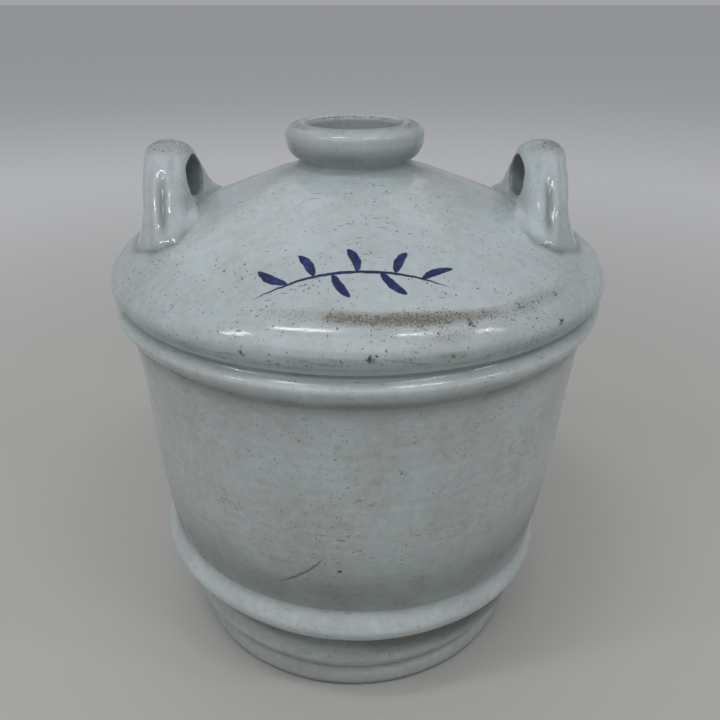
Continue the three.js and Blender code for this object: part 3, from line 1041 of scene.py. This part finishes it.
@dataclass
class Walls:
    """The two thrown wall sections, joined behind the lower hoop."""

    foot_steps: int = 24
    body_steps: int = 110
    # Painted shade over the low, drawn-in part of the wall above the lower hoop
    low_wall_shade: RingMark = RingMark(WALL.radius(101.0), 101.0, 30.0, 0.78)

    def outline(self, low: float, high: float, steps: int) -> list[Point]:
        """A wall section between two levels, with a lap at each end.

        Args:
            low: The level of its foot.
            high: The level of its head.
            steps: Steps up the outside.

        Returns:
            The closed outline.
        """
        outside = [(WALL.radius(height), height) for height in spread(low, high, steps)]
        inside = [(radius - WALL_THICKNESS, height) for radius, height in reversed(outside[1:-1])]
        foot, head = outside[0][0], outside[-1][0]
        tongue = lap_tongue(foot, foot - WALL_THICKNESS, low)
        seat = lap_seat(head, head - WALL_THICKNESS, high)
        clear = [point for point in inside if point[1] < high - LAP_DEPTH]
        return [*tongue, *outside[1:-1], *seat, *clear]

    def crease(self, hoop: "LowerHoop", point: Vector) -> float:
        """How much painted shade, with some soil, lies on the wall under the hoop and on the drawn-in part
        above it.
        """
        return max(hoop.crease(point), strongest((self.low_wall_shade,), point))

    def build(self, finishes: dict[Slot, bpy.types.Material], hoop: "LowerHoop") -> None:
        """Makes and dresses the two pieces.

        Args:
            finishes: The jar's materials.
            hoop: The band that covers their seam.
        """
        lower = self.outline(JAR.foot_level, JAR.seam_level, self.foot_steps)
        upper = self.outline(JAR.seam_level, JAR.shoulder_level, self.body_steps)
        finished(turned(lower), "foot_wall", finishes[Slot.WALL], crease=hoop.crease)
        finished(turned(upper), "body_wall", finishes[Slot.WALL],
                 crease=partial(self.crease, hoop))


@dataclass
class LowerHoop:
    """The hand-laid band over the seam, a little out of level, drawn softly into the wall above it."""

    stand: float = 9.3
    stand_swing: float = 0.95
    upper_reach: float = 16.5
    lower_reach: float = 26.0
    lift: float = 4.3
    rise: float = 7.0
    high_side: float = math.radians(205)
    wobble: float = 0.6
    sunk: float = 0.2
    # Painted shade under the band, with real soil added on its front right, and painted shade where its top
    # runs into the low wall
    dirt_and_shade: float = 1.2
    dirt_at_right: float = 0.2
    right_angle: float = -62.0
    right_reach: float = 26.0
    dirt_and_shade_share: float = 0.86
    dirt_and_shade_width: float = 0.48
    low_wall_shade: float = 0.65
    low_wall_shade_start: float = 0.45
    back: float = 2.0
    steps: int = 60

    def level(self, angle: float) -> float:
        """The band's middle height at an angle round the jar."""
        wobble = self.wobble * (math.sin(3 * angle + 0.8) + 0.6 * math.sin(5 * angle + 2.1))
        return JAR.seam_level + self.lift + self.rise * math.cos(angle - self.high_side) + wobble

    def face(self, share: float, angle: float) -> float:
        """How far the band stands off the wall.

        Args:
            share: A share of its reach above or below its crest.
            angle: The angle round the jar.

        Returns:
            The distance in millimetres.
        """
        uneven = self.wobble * (0.6 * math.sin(4 * angle + 1.0) + 0.4 * math.sin(7 * angle + 0.4))
        stand = self.stand + self.stand_swing * math.cos(angle - self.high_side) + uneven
        return stand * swell(share) - self.sunk

    def crease(self, point: Vector) -> float:
        """How much painted shade lies under the band, with some soil on its front right.

        Args:
            point: A point in millimetres.

        Returns:
            The amount, most on the front right.
        """
        angle = math.atan2(point.y, point.x)
        share = (point.z - self.level(angle)) / self.lower_reach
        right = math.exp(-((math.degrees(angle) - self.right_angle) / self.right_reach) ** 2)
        most = self.dirt_and_shade + self.dirt_at_right * right
        return most * math.exp(-((share + self.dirt_and_shade_share) / self.dirt_and_shade_width) ** 2)

    def own_crease(self, point: Vector) -> float:
        """How much painted shade lies on the band: as under it, and where it runs out into the shaded low
        wall.
        """
        share = (point.z - self.level(math.atan2(point.y, point.x))) / self.upper_reach
        return max(self.crease(point), self.low_wall_shade * ease(share, self.low_wall_shade_start, 1.0))

    def build(self, finishes: dict[Slot, bpy.types.Material]) -> None:
        """Spins a plain band, then draws each point out to the tilted, swelling one.

        Args:
            finishes: The jar's materials.
        """
        shares = spread(-1, 1, self.steps)
        # Two radii that only tell the band's faces apart until its points are drawn out
        front, rear = 200.0, 100.0
        band = [(front, share) for share in shares] + [(rear, share) for share in reversed(shares)]
        mesh = turned(band)
        for vert in mesh.verts:
            angle = math.atan2(vert.co.y, vert.co.x)
            share = vert.co.z
            height = self.level(angle) + share * (self.upper_reach if share > 0 else self.lower_reach)
            outside = math.hypot(vert.co.x, vert.co.y) > (front + rear) / 2
            offset = self.face(share, angle) if outside else -self.back
            radius = WALL.radius(height) + offset
            vert.co = (radius * math.cos(angle), radius * math.sin(angle), height)
        bmesh.ops.recalc_face_normals(mesh, faces=mesh.faces)
        finished(mesh, "lower_hoop", finishes[Slot.HOOP], crease=self.own_crease)


@dataclass
class UpperHoop:
    """The level band under the shoulder, with glaze filling the valley between the two."""

    stand: float = 7.2
    level: float = 264.5
    upper_reach: float = 7.8
    lower_reach: float = 20.0
    valley_fillet: float = 7.0
    top_level: float = 278.0
    sunk: float = 0.6
    sunk_at_shoulder: float = 0.03
    sunk_run: float = 8.0
    back: float = 2.0
    steps: int = 60

    def radius(self, height: float) -> float:
        """The band's outer radius at a height.

        Args:
            height: A height in millimetres.

        Returns:
            The radius in millimetres.
        """
        reach = self.upper_reach if height > self.level else self.lower_reach
        wall = WALL.radius(min(height, JAR.shoulder_level))
        face = wall + self.stand * swell((height - self.level) / reach)
        near = ease(height, self.level - self.sunk_run, self.level)
        sunk = self.sunk + (self.sunk_at_shoulder - self.sunk) * near
        return smooth_max(face, DOME.underside_radius(height), self.valley_fillet) - sunk

    def build(self, finishes: dict[Slot, bpy.types.Material]) -> None:
        """Makes and dresses the band.

        Args:
            finishes: The jar's materials.
        """
        heights = spread(self.level - self.lower_reach, self.top_level, self.steps)
        front = [(self.radius(height), height) for height in heights]
        rear = [(WALL.radius(min(height, JAR.shoulder_level)) - self.back, height)
                for height in reversed(heights)]
        finished(turned([*front, *rear]), "upper_hoop", finishes[Slot.HOOP])


@dataclass
class Shoulder:
    """The rounded shoulder and the dome, with the opening that takes the neck."""

    hole_radius: float = 36.7
    outer_steps: int = 96
    inner_steps: int = 40

    def outline(self) -> list[Point]:
        """The dome's section, up the outside from its lap and down the inside.

        Returns:
            The closed outline.
        """
        inner = JAR.wall_radius - WALL_THICKNESS
        tucked = (JAR.bulge_radius - DOME.tuck_depth, DOME.bulge_level)
        underside = arc(tucked, DOME.tuck_depth, DOME.tuck, -90, 0, 16)
        turns = spread(math.pi / 2, 0, self.outer_steps)
        reach = JAR.bulge_radius - self.hole_radius
        outside = [self.hole_radius + reach * math.sin(turn) for turn in turns]
        inside = [self.hole_radius + (inner - self.hole_radius) * math.sin(turn)
                  for turn in spread(0, math.pi / 2, self.inner_steps)]
        return [*lap_tongue(JAR.wall_radius, inner, JAR.shoulder_level), *underside,
                *[(radius, DOME.height(radius)) for radius in outside[1:]],
                *[(radius, DOME.inner_height(radius)) for radius in inside[:-1]]]

    def build(self, finishes: dict[Slot, bpy.types.Material], ear: "Ear") -> None:
        """Makes and dresses the dome, darkened by painted shade and some soil where the ears spring from it.

        Args:
            finishes: The jar's materials.
            ear: The ear that stands on it, once on each side.
        """
        finished(turned(self.outline()), "shoulder_dome", finishes[Slot.SHOULDER],
                 crease=ear.root_crease)


@dataclass
class Mouth:
    """The short drawn-in neck and the rolled rim."""

    waist_radius: float = 37.4
    skirt_radius: float = 49.0
    neck_height: float = 1.2
    spigot: float = 8.0
    spigot_radius: float = 36.5
    spigot_sunk: float = 2.0
    belly_share: float = 0.65
    roll: float = 4.4
    round_steps: int = 18
    steps: int = 192

    def collar_outline(self) -> list[Point]:
        """The neck's section, from its spigot up the outside and down the bore.

        Returns:
            The closed outline.
        """
        skirt_height = DOME.height(self.skirt_radius)
        slope = DOME.height(self.skirt_radius + 1) - skirt_height
        corner = (self.waist_radius, skirt_height - slope * (self.skirt_radius - self.waist_radius))
        fillet = bend((self.skirt_radius, skirt_height - 0.1), corner,
                      (self.waist_radius, JAR.mouth_level - 0.5), self.round_steps)
        foot = JAR.neck_level - self.spigot
        root = DOME.height(self.spigot_radius) - self.spigot_sunk
        return [(BORE_RADIUS, foot), (self.spigot_radius, foot), (self.spigot_radius, root), *fillet,
                *lap_seat(self.waist_radius, BORE_RADIUS, JAR.mouth_level)]

    def rim_outline(self) -> list[Point]:
        """The rim's section: an undercut belly, a broad crest and a rolled lip into the bore.

        Returns:
            The closed outline.
        """
        height = JAR.rim_level - JAR.mouth_level - self.neck_height
        low, high = height * self.belly_share, height * (1 - self.belly_share)
        widest = JAR.rim_level - high
        roll_radius = BORE_RADIUS + self.roll
        belly = arc((self.waist_radius, widest), JAR.rim_radius - self.waist_radius, low, -90, 0,
                    self.round_steps)
        crest = arc((roll_radius, widest), JAR.rim_radius - roll_radius, high, 0, 90, self.round_steps)
        roll = arc((roll_radius, JAR.rim_level - self.roll), self.roll, self.roll, 90, 180, 10)
        return [*lap_tongue(self.waist_radius, BORE_RADIUS, JAR.mouth_level), *belly, *crest[1:], *roll[1:]]

    def build(self, finishes: dict[Slot, bpy.types.Material]) -> None:
        """Makes and dresses the two pieces.

        Args:
            finishes: The jar's materials.
        """
        collar = turned(self.collar_outline(), self.steps)
        rim = turned(self.rim_outline(), self.steps)
        finished(collar, "neck_collar", finishes[Slot.NECK])
        finished(rim, "mouth_ring", finishes[Slot.NECK])


@dataclass(frozen=True)
class Groove:
    """A groove pressed along an ear, at a distance across its thickness."""

    depth: float
    across: float
    width: float

    def at(self, across: float) -> float:
        """How deep the groove is at a distance across the ear."""
        return self.depth * math.exp(-((across - self.across) / self.width) ** 2)


@dataclass(frozen=True)
class Ear:
    """A pierced lug along the shoulder, pressed with lengthwise grooves and ending in blunt toes.

    It is laid out in an upright plane through its length, as a ring of clay round the hole with an outer and
    an inner face. Distances along it are from its middle, and its stand is its height over the dome.
    """

    outer_radius: float = 139.4
    bend_share: float = 0.8
    inner_reach: float = 109.0
    crest_round: float = 24.0
    crest_slope: float = 1.1
    crown_rise: float = 9.0
    crown_at_legs: float = 15.0
    crown_at_toe: float = 2.0
    crown_least: float = 3.6
    crown_leg_reach: float = 25.0
    crown_power: float = 1.4
    section_length: float = 76.0
    hole_half_length: float = 22.0
    hole_half_height: float = 13.5
    bar: float = 10.6
    hole_edge: float = 2.4
    hole_edge_share: float = 0.45
    toe: float = 70.0
    toe_start: float = 60.0
    toe_stand: float = 5.2
    toe_blend: float = 5.0
    buried: float = 5.0
    slope_height: float = 18.0
    inner_flare: float = 9.5
    inner_flare_height: float = 30.0
    inner_flare_least: float = 2.0
    inner_flare_at_hole: float = 0.15
    inner_flare_start: Span = (14.0, 40.0)
    inner_flare_end: Span = (44.0, 69.0)
    outer_flare: float = 9.0
    outer_flare_height: float = 17.0
    outer_flare_least: float = 1.0
    outer_flare_end: Span = (50.0, 67.0)
    flare_power: float = 1.7
    main_groove: Groove = Groove(4.2, 0.5, 2.8)
    outer_groove: Groove = Groove(0.9, 8.5, 2.2)
    dimple: Groove = Groove(1.1, -6.5, 2.6)
    main_groove_start: Span = (12.0, 30.0)
    main_groove_end: Span = (54.0, 66.0)
    outer_groove_start: Span = (6.0, 16.0)
    dimple_along: float = 25.0
    dimple_length: float = 9.0
    lump_size: float = 9.0
    lump_height: float = 0.55
    round_steps: int = 240
    section_steps: int = 124
    fine_steps: int = 2880
    toe_density: float = 6.0
    toe_spread: float = 0.12
    # Painted shade in the hole and grooves and at the feet, with some soil at the feet, and wear
    dirt_and_shade_least: float = 0.08
    dirt_and_shade_more: float = 0.6
    dirt_and_shade_at_toe: Span = (48.0, 66.0)
    dirt_and_shade_outside: Span = (125.0, 140.0)
    root_dirt_and_shade_reach: float = 3.2
    foot_dirt_and_shade_reach: float = 3.0
    bore_shade: float = 0.9
    groove_shade: float = 0.2
    crest_rub: float = 0.8
    crest_rub_reach: float = 9.0
    toe_rub: float = 0.4
    toe_rub_reach: float = 4.0

    @property
    def hole_level(self) -> float:
        """The height of the hole's middle."""
        return JAR.ear_level - self.bar - self.hole_half_height

    def outer(self, along: float) -> float:
        """How far out the ear's outer face lies, bent a little less than the shoulder."""
        bent = math.sqrt(self.outer_radius ** 2 - min(abs(along), self.section_length) ** 2)
        return self.outer_radius - self.bend_share * (self.outer_radius - bent)

    def middle(self, along: float) -> float:
        """How far out the middle of the ear's thickness lies."""
        return (self.outer(along) + self.inner_reach) / 2

    def dome(self, along: float) -> float:
        """The dome's height under the middle of the ear's thickness."""
        return DOME.height(math.hypot(self.middle(along), along))

    def stand(self, along: float) -> float:
        """The crest's height over the dome, which ends in a blunt toe.

        Args:
            along: Distance along the ear.

        Returns:
            The height in millimetres, below 0 past the toe.
        """
        reach = abs(along)
        fall = self.crest_slope * (math.hypot(along, self.crest_round) - self.crest_round)
        full = smooth_max(JAR.ear_level - fall - self.dome(along), self.toe_stand, self.toe_blend)
        past = min(max(reach - self.toe_start, 0.0) / (self.toe - self.toe_start), 1.0)
        return (full + self.buried) * math.sqrt(1 - past * past) - self.buried

    def edge_reach(self, turn: float, depth: float) -> float:
        """How far the ear's edge lies from the hole's middle.

        Args:
            turn: A direction in the ear's upright plane.
            depth: How far below the dome's surface the ear ends.

        Returns:
            The distance in millimetres.
        """
        near, far = self.hole_half_height, self.section_length * 1.5
        # Halves the range until the edge is found
        for _ in range(40):
            reach = (near + far) / 2
            along = reach * math.cos(turn)
            over = self.hole_level + reach * math.sin(turn) - self.dome(along)
            if -depth < over < self.stand(along):
                near = reach
            else:
                far = reach
        return near

    def directions(self) -> list[float]:
        """The ring's directions from the hole's middle, closer together towards the two toes.

        Returns:
            The angles, from 0 to a full turn.
        """
        down = math.atan2(self.dome(self.toe) - self.hole_level, self.toe)
        fine = spread(0, math.tau, self.fine_steps)
        swings = [abs((turn - toe + math.pi) % math.tau - math.pi) for turn in fine
                  for toe in (down, math.pi - down)]
        weights = [1 + self.toe_density * math.exp(-(min(pair) / self.toe_spread) ** 2)
                   for pair in zip(swings[::2], swings[1::2])]
        total = sum(weights[:-1])
        turns, run, wanted = [], 0.0, 0.0
        for turn, weight in zip(fine, weights):
            if run >= wanted and len(turns) < self.round_steps:
                turns.append(turn)
                wanted = total * len(turns) / self.round_steps
            run += weight
        return turns

    def leg_share(self, along: float) -> float:
        """How much of the inner flare there is: none under the hole, all on the legs, little at the toes."""
        least = self.inner_flare_at_hole
        grown = least + (1 - least) * ease(abs(along), *self.inner_flare_start)
        return grown * (1 - ease(abs(along), *self.inner_flare_end))

    def outer_share(self, along: float) -> float:
        """How much of the outer flare there is: all along the legs, none at the toes."""
        return 1 - ease(abs(along), *self.outer_flare_end)

    def half_width(self, along: float, over: float, side: int) -> float:
        """How far a face of the ear lies from the middle of its thickness.

        Args:
            along: Distance along the ear.
            over: Height over the dome.
            side: 1 for the outer face, -1 for the inner one.

        Returns:
            The distance in millimetres.
        """
        half = self.outer(along) - self.middle(along)
        stand = self.stand(along)
        share = min(abs(along) / self.section_length, 1.0) ** self.crown_power
        leg = ease(abs(along), 0, self.crown_leg_reach)
        crown_rise = self.crown_rise + (self.crown_at_legs - self.crown_rise) * leg
        rise = max(crown_rise + (self.crown_at_toe - crown_rise) * share, self.crown_least)
        crown = min(max((stand - over) / rise, 0.0), 1.0)
        if side > 0:
            least, most, flare_share = self.outer_flare_least, self.outer_flare, self.outer_share(along)
            height = self.outer_flare_height
        else:
            least, most, flare_share = self.inner_flare_least, self.inner_flare, self.leg_share(along)
            height = self.inner_flare_height
        flare = least + (most - least) * flare_share
        height = min(height, max(stand * 0.9, 2.0))
        down = 1 - min(max(over / height, 0.0), 1.0)
        foot = min(max((over + self.buried) / 2, 0.0), 1.0)
        width = half * math.sqrt(1 - (1 - crown) ** 2) + flare * down ** self.flare_power
        return width * math.sqrt(1 - (1 - foot) ** 2)

    def groove(self, place: Vector) -> float:
        """How deep the pressed grooves are.

        Args:
            place: A point of the ear on the +X side, in millimetres.

        Returns:
            The depth of the deepest groove there.
        """
        across = place.x - self.middle(place.y)
        drop = JAR.ear_level - place.z
        run = ease(drop, *self.main_groove_start) * (1 - 0.8 * ease(abs(place.y), *self.main_groove_end))
        main = self.main_groove.at(across) * run
        outer = self.outer_groove.at(across) * ease(drop, *self.outer_groove_start)
        dimple_run = math.exp(-((abs(place.y) - self.dimple_along) / self.dimple_length) ** 2)
        return max(main, outer, self.dimple.at(across) * dimple_run)

    def placed(self, turn: float, foot: float, edge: float, share: float, side: int) -> Vector:
        """Where a point of the plain ring goes on the ear.

        Args:
            turn: The direction from the hole's middle, in the ear's upright plane.
            foot: How far off the crest or the dome's surface lies in that direction.
            edge: How far off the ear's edge lies, below the dome's surface where it is buried.
            share: 0 in the middle of the hole's wall, 1 on the crest.
            side: 1 for the outer half of the section, -1 for the inner half.

        Returns:
            The point in millimetres, for the ear on the +X side.
        """
        along, up = math.cos(turn), math.sin(turn)
        hole = 1 / math.hypot(along / self.hole_half_length, up / self.hole_half_height)
        wall_share, round_share, groove_share, foot_share = 0.12, 0.28, 0.62, 0.86
        round_size = min(self.hole_edge, (foot - hole) * self.hole_edge_share)
        reach, inset = hole, round_size
        if share >= foot_share:
            reach, inset = foot + (edge - foot) * (share - foot_share) / (1 - foot_share), 0.0
        elif share >= round_share:
            out = math.sin(math.pi / 2 * (share - round_share) / (foot_share - round_share))
            reach, inset = hole + round_size + (foot - hole - round_size) * out, 0.0
        elif share > wall_share:
            quarter = math.pi / 2 * (share - wall_share) / (round_share - wall_share)
            reach, inset = hole + round_size * (1 - math.cos(quarter)), round_size * (1 - math.sin(quarter))
        y, z = reach * along, self.hole_level + reach * up
        over = z - self.dome(y)
        width = max(self.half_width(y, over, side) - inset, 0.0) * min(share / wall_share, 1.0)
        x = self.middle(y) + side * width
        slope = DOME.height(math.hypot(x, y)) - self.dome(y)
        z += slope * (1 - ease(over, 0, self.slope_height))
        place = Vector((x, y, z))
        outside = ease(share, round_share, groove_share)
        lump = noise.noise(place / self.lump_size) * self.lump_height * ease(share, wall_share, round_share)
        return place - Vector((-side * lump * 0.7, along, up)) * (self.groove(place) * outside - lump)

    def root_crease(self, point: Vector) -> float:
        """How much painted shade, with some soil, lies on the dome round the ears' feet.

        Args:
            point: A point of the dome in millimetres.

        Returns:
            The amount, 0 away from the ears.
        """
        x, y = abs(point.x), abs(point.y)
        if point.z < DOME.bulge_level or x < 60:
            return 0.0
        inner = self.inner_reach - self.inner_flare * self.leg_share(y)
        outer = self.outer(y) + self.outer_flare * self.outer_share(y)
        across = max(inner - x, x - outer, 0.0)
        shown = max(ease(y, *self.dirt_and_shade_at_toe), ease(x, outer - 12, outer))
        amount = self.dirt_and_shade_least + self.dirt_and_shade_more * shown
        away = math.hypot(across, max(y - self.toe + 1, 0.0))
        return amount * math.exp(-(away / self.root_dirt_and_shade_reach) ** 2)

    def crease(self, point: Vector) -> float:
        """How much painted shade lies at the ear's foot, with some soil, in its hole and along its grooves.

        Args:
            point: A point of the ear in millimetres.

        Returns:
            The amount.
        """
        stand = point.z - DOME.height(math.hypot(point.x, point.y))
        shown = max(ease(abs(point.y), *self.dirt_and_shade_at_toe), ease(abs(point.x), *self.dirt_and_shade_outside))
        amount = self.dirt_and_shade_least + self.dirt_and_shade_more * shown
        foot = amount * math.exp(-(max(stand, 0.0) / self.foot_dirt_and_shade_reach) ** 2)
        right = Vector((abs(point.x), point.y, point.z))
        off = math.hypot(point.y / self.hole_half_length, (point.z - self.hole_level) / self.hole_half_height)
        inside = ease(abs(point.x), self.inner_reach - 6, self.inner_reach)
        # Painted shade in the hole
        bore = self.bore_shade * (1 - ease(off, 1.02, 1.14)) * inside
        return max(foot, bore, self.groove_shade * self.groove(right))

    def rub(self, point: Vector) -> float:
        """How rubbed the glaze is at a point: most on the crest, where a rope or a hand bears."""
        top = math.exp(-((JAR.ear_level - point.z) / self.crest_rub_reach) ** 2)
        toe = math.exp(-((abs(point.y) - self.toe + 3) / self.toe_rub_reach) ** 2)
        return max(self.crest_rub * top, self.toe_rub * toe)

    def build(self, finishes: dict[Slot, bpy.types.Material]) -> None:
        """Spins a plain ring for each ear, then draws its points out to the ear's shape.

        Args:
            finishes: The jar's materials.
        """
        # The plain ring's own sizes, which only tell its points apart until they are drawn out
        middle, girth = 3.0, 1.0
        turns = self.directions()
        feet = [self.edge_reach(turn, 0.0) for turn in turns]
        edges = [self.edge_reach(turn, self.buried) for turn in turns]
        for node, hand in (("right_ear", 1), ("left_ear", -1)):
            mesh = bmesh.new()
            ring = bmesh.ops.create_circle(mesh, segments=self.section_steps, radius=girth)["verts"]
            bmesh.ops.translate(mesh, verts=ring, vec=(0, middle, 0))
            bmesh.ops.spin(mesh, geom=mesh.verts[:] + mesh.edges[:], cent=(0, 0, 0), axis=(1, 0, 0),
                           angle=math.tau, steps=self.round_steps, use_merge=True)
            for vert in mesh.verts:
                section = math.atan2(vert.co.x, math.hypot(vert.co.y, vert.co.z) - middle)
                turn = math.atan2(vert.co.z, vert.co.y) % math.tau
                step = round(turn / math.tau * self.round_steps) % self.round_steps
                share = 1 - abs(section) / math.pi
                place = self.placed(turns[step], feet[step], edges[step], share, 1 if section >= 0 else -1)
                vert.co = (place.x * hand, place.y * hand, place.z)
            bmesh.ops.remove_doubles(mesh, verts=mesh.verts, dist=EAR_WELD)
            bmesh.ops.recalc_face_normals(mesh, faces=mesh.faces)
            finished(mesh, node, finishes[Slot.EAR], crease=self.crease, rub=self.rub)


@dataclass
class Studio:
    """A pale floor, soft studio light and the camera at the photograph's angle, in metres."""

    floor_size: float = 300.0
    floor_colour: str = "#c1c0bc"
    floor_far_colour: str = "#f4f4f6"
    floor_far: Span = (0.4, 1.9)
    floor_roughness: float = 0.7
    air_colour: str = "#e2e4e8"
    air_low: float = 0.08
    air_high: float = 0.72
    air_far: float = 0.48
    air_far_rise: Span = (0.05, 0.5)
    lamp_height: float = 2.5
    lamp_size: tuple[float, float] = (0.8, 0.16)
    lamp_power: float = 7.0
    lamp_places: tuple[Point, ...] = ((-2.15, -0.95), (-0.67, -0.60), (0.91, -1.0), (2.35, -0.9))
    front_place: tuple[float, float, float] = (-0.35, -1.5, 1.9)
    broad_aim: tuple[float, float, float] = (0.0, 0.0, 0.25)
    broad_size: tuple[float, float] = (2.4, 1.2)
    front_power: float = 10.5
    rear_place: tuple[float, float, float] = (-0.35, 1.6, 1.9)
    rear_power: float = 3.5
    camera_place: tuple[float, float, float] = (0.003, -0.4933, 0.4455)
    camera_tilt: float = math.radians(90 - 26.32)
    lens: float = 36.0
    sensor: float = 36.0

    def floor(self) -> None:
        """Lays the plain matt floor, a little paler far behind the jar, like a studio's paper sweep."""
        mesh = bmesh.new()
        bmesh.ops.create_grid(mesh, x_segments=1, y_segments=1, size=self.floor_size)
        data = bpy.data.meshes.new("floor")
        mesh.to_mesh(data)
        mesh.free()
        material = bpy.data.materials.new("pale_matt_floor")
        material.use_nodes = True
        tree = material.node_tree
        shader = tree.nodes["Principled BSDF"]
        coords = add_node(tree, "TexCoord").outputs["Object"]
        away = add_node(tree, "VectorMath", {0: coords}, operation="LENGTH").outputs[1]
        share = add_node(tree, "MapRange", {0: away, 1: self.floor_far[0], 2: self.floor_far[1]},
                         interpolation_type="SMOOTHSTEP").outputs[0]
        near, far = linear(self.floor_colour), linear(self.floor_far_colour)
        colour = add_node(tree, "Mix", {0: share, 6: near, 7: far}, data_type="RGBA").outputs[2]
        tree.links.new(colour, shader.inputs["Base Color"])
        shader.inputs["Roughness"].default_value = self.floor_roughness
        data.materials.append(material)
        floor = bpy.data.objects.new("floor", data)
        bpy.context.scene.collection.objects.link(floor)

    def air(self) -> None:
        """Fills the studio with soft light, stronger from above, and pale where the floor ends."""
        world = bpy.data.worlds.new("studio_air")
        world.use_nodes = True
        tree = world.node_tree
        ray = add_node(tree, "TexCoord").outputs["Generated"]
        up = add_node(tree, "SeparateXYZ", {0: ray}).outputs[2]
        over = add_node(tree, "Math", {0: up, 1: 0.0}, operation="MAXIMUM").outputs[0]
        gathered = add_node(tree, "Math", {0: over, 1: 2.0}, operation="POWER").outputs[0]
        soft = add_node(tree, "MapRange", {
            0: gathered, 1: 0.0, 2: 1.0, 3: self.air_low, 4: self.air_high}).outputs[0]
        far = add_node(tree, "MapRange", {
            0: over, 1: self.air_far_rise[0], 2: self.air_far_rise[1], 3: self.air_far, 4: 0.0}).outputs[0]
        strength = add_node(tree, "Math", {0: soft, 1: far}, operation="MAXIMUM").outputs[0]
        air = tree.nodes["Background"]
        air.inputs["Color"].default_value = linear(self.air_colour)
        tree.links.new(strength, air.inputs["Strength"])
        bpy.context.scene.world = world

    def lamps(self) -> None:
        """Hangs a row of ceiling lamps, whose small glints show the gloss, and broad soft lights around."""
        for i, (across, along) in enumerate(self.lamp_places):
            place = Vector((across, along, self.lamp_height))
            self.lamp(f"ceiling_lamp_{i}", place, self.lamp_size, self.lamp_power)
        for name, place, power in (("front_light", Vector(self.front_place), self.front_power),
                                   ("rear_light", Vector(self.rear_place), self.rear_power)):
            broad = self.lamp(name, place, self.broad_size, power)
            broad.rotation_euler = (Vector(self.broad_aim) - place).to_track_quat("-Z", "Y").to_euler()

    def lamp(self, name: str, place: Vector, size: tuple[float, float], power: float) -> bpy.types.Object:
        """Hangs one rectangular lamp that shines straight down.

        Args:
            name: The lamp's name.
            place: Its middle.
            size: Its width and depth.
            power: Its power in watts.

        Returns:
            The lamp.
        """
        light = bpy.data.lights.new(name, "AREA")
        light.shape = "RECTANGLE"
        light.size, light.size_y = size
        light.energy = power
        lamp = bpy.data.objects.new(name, light)
        lamp.location = place
        bpy.context.scene.collection.objects.link(lamp)
        return lamp

    def camera(self) -> None:
        """Sets the camera where the photograph was taken from."""
        camera = bpy.data.objects.new("camera", bpy.data.cameras.new("camera"))
        camera.data.lens = self.lens
        camera.data.sensor_width = self.sensor
        camera.location = self.camera_place
        camera.rotation_euler = (self.camera_tilt, 0, 0)
        bpy.context.scene.collection.objects.link(camera)
        bpy.context.scene.camera = camera

    def build(self) -> None:
        """Sets up the floor, the light and the camera."""
        self.floor()
        self.air()
        self.lamps()
        self.camera()
        bpy.context.scene.view_settings.view_transform = "Standard"


def main() -> None:
    """Builds the jar section by section, then the studio round it."""
    logging.basicConfig(level=logging.INFO)
    finishes = {slot: finish.material() for slot, finish in FINISHES.items()}
    hoop, ear = LowerHoop(), Ear()
    Foot().build(finishes)
    Walls().build(finishes, hoop)
    hoop.build(finishes)
    UpperHoop().build(finishes)
    Shoulder().build(finishes, ear)
    Mouth().build(finishes)
    ear.build(finishes)
    Studio().build()
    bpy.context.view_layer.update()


if __name__ == "__main__":
    main()
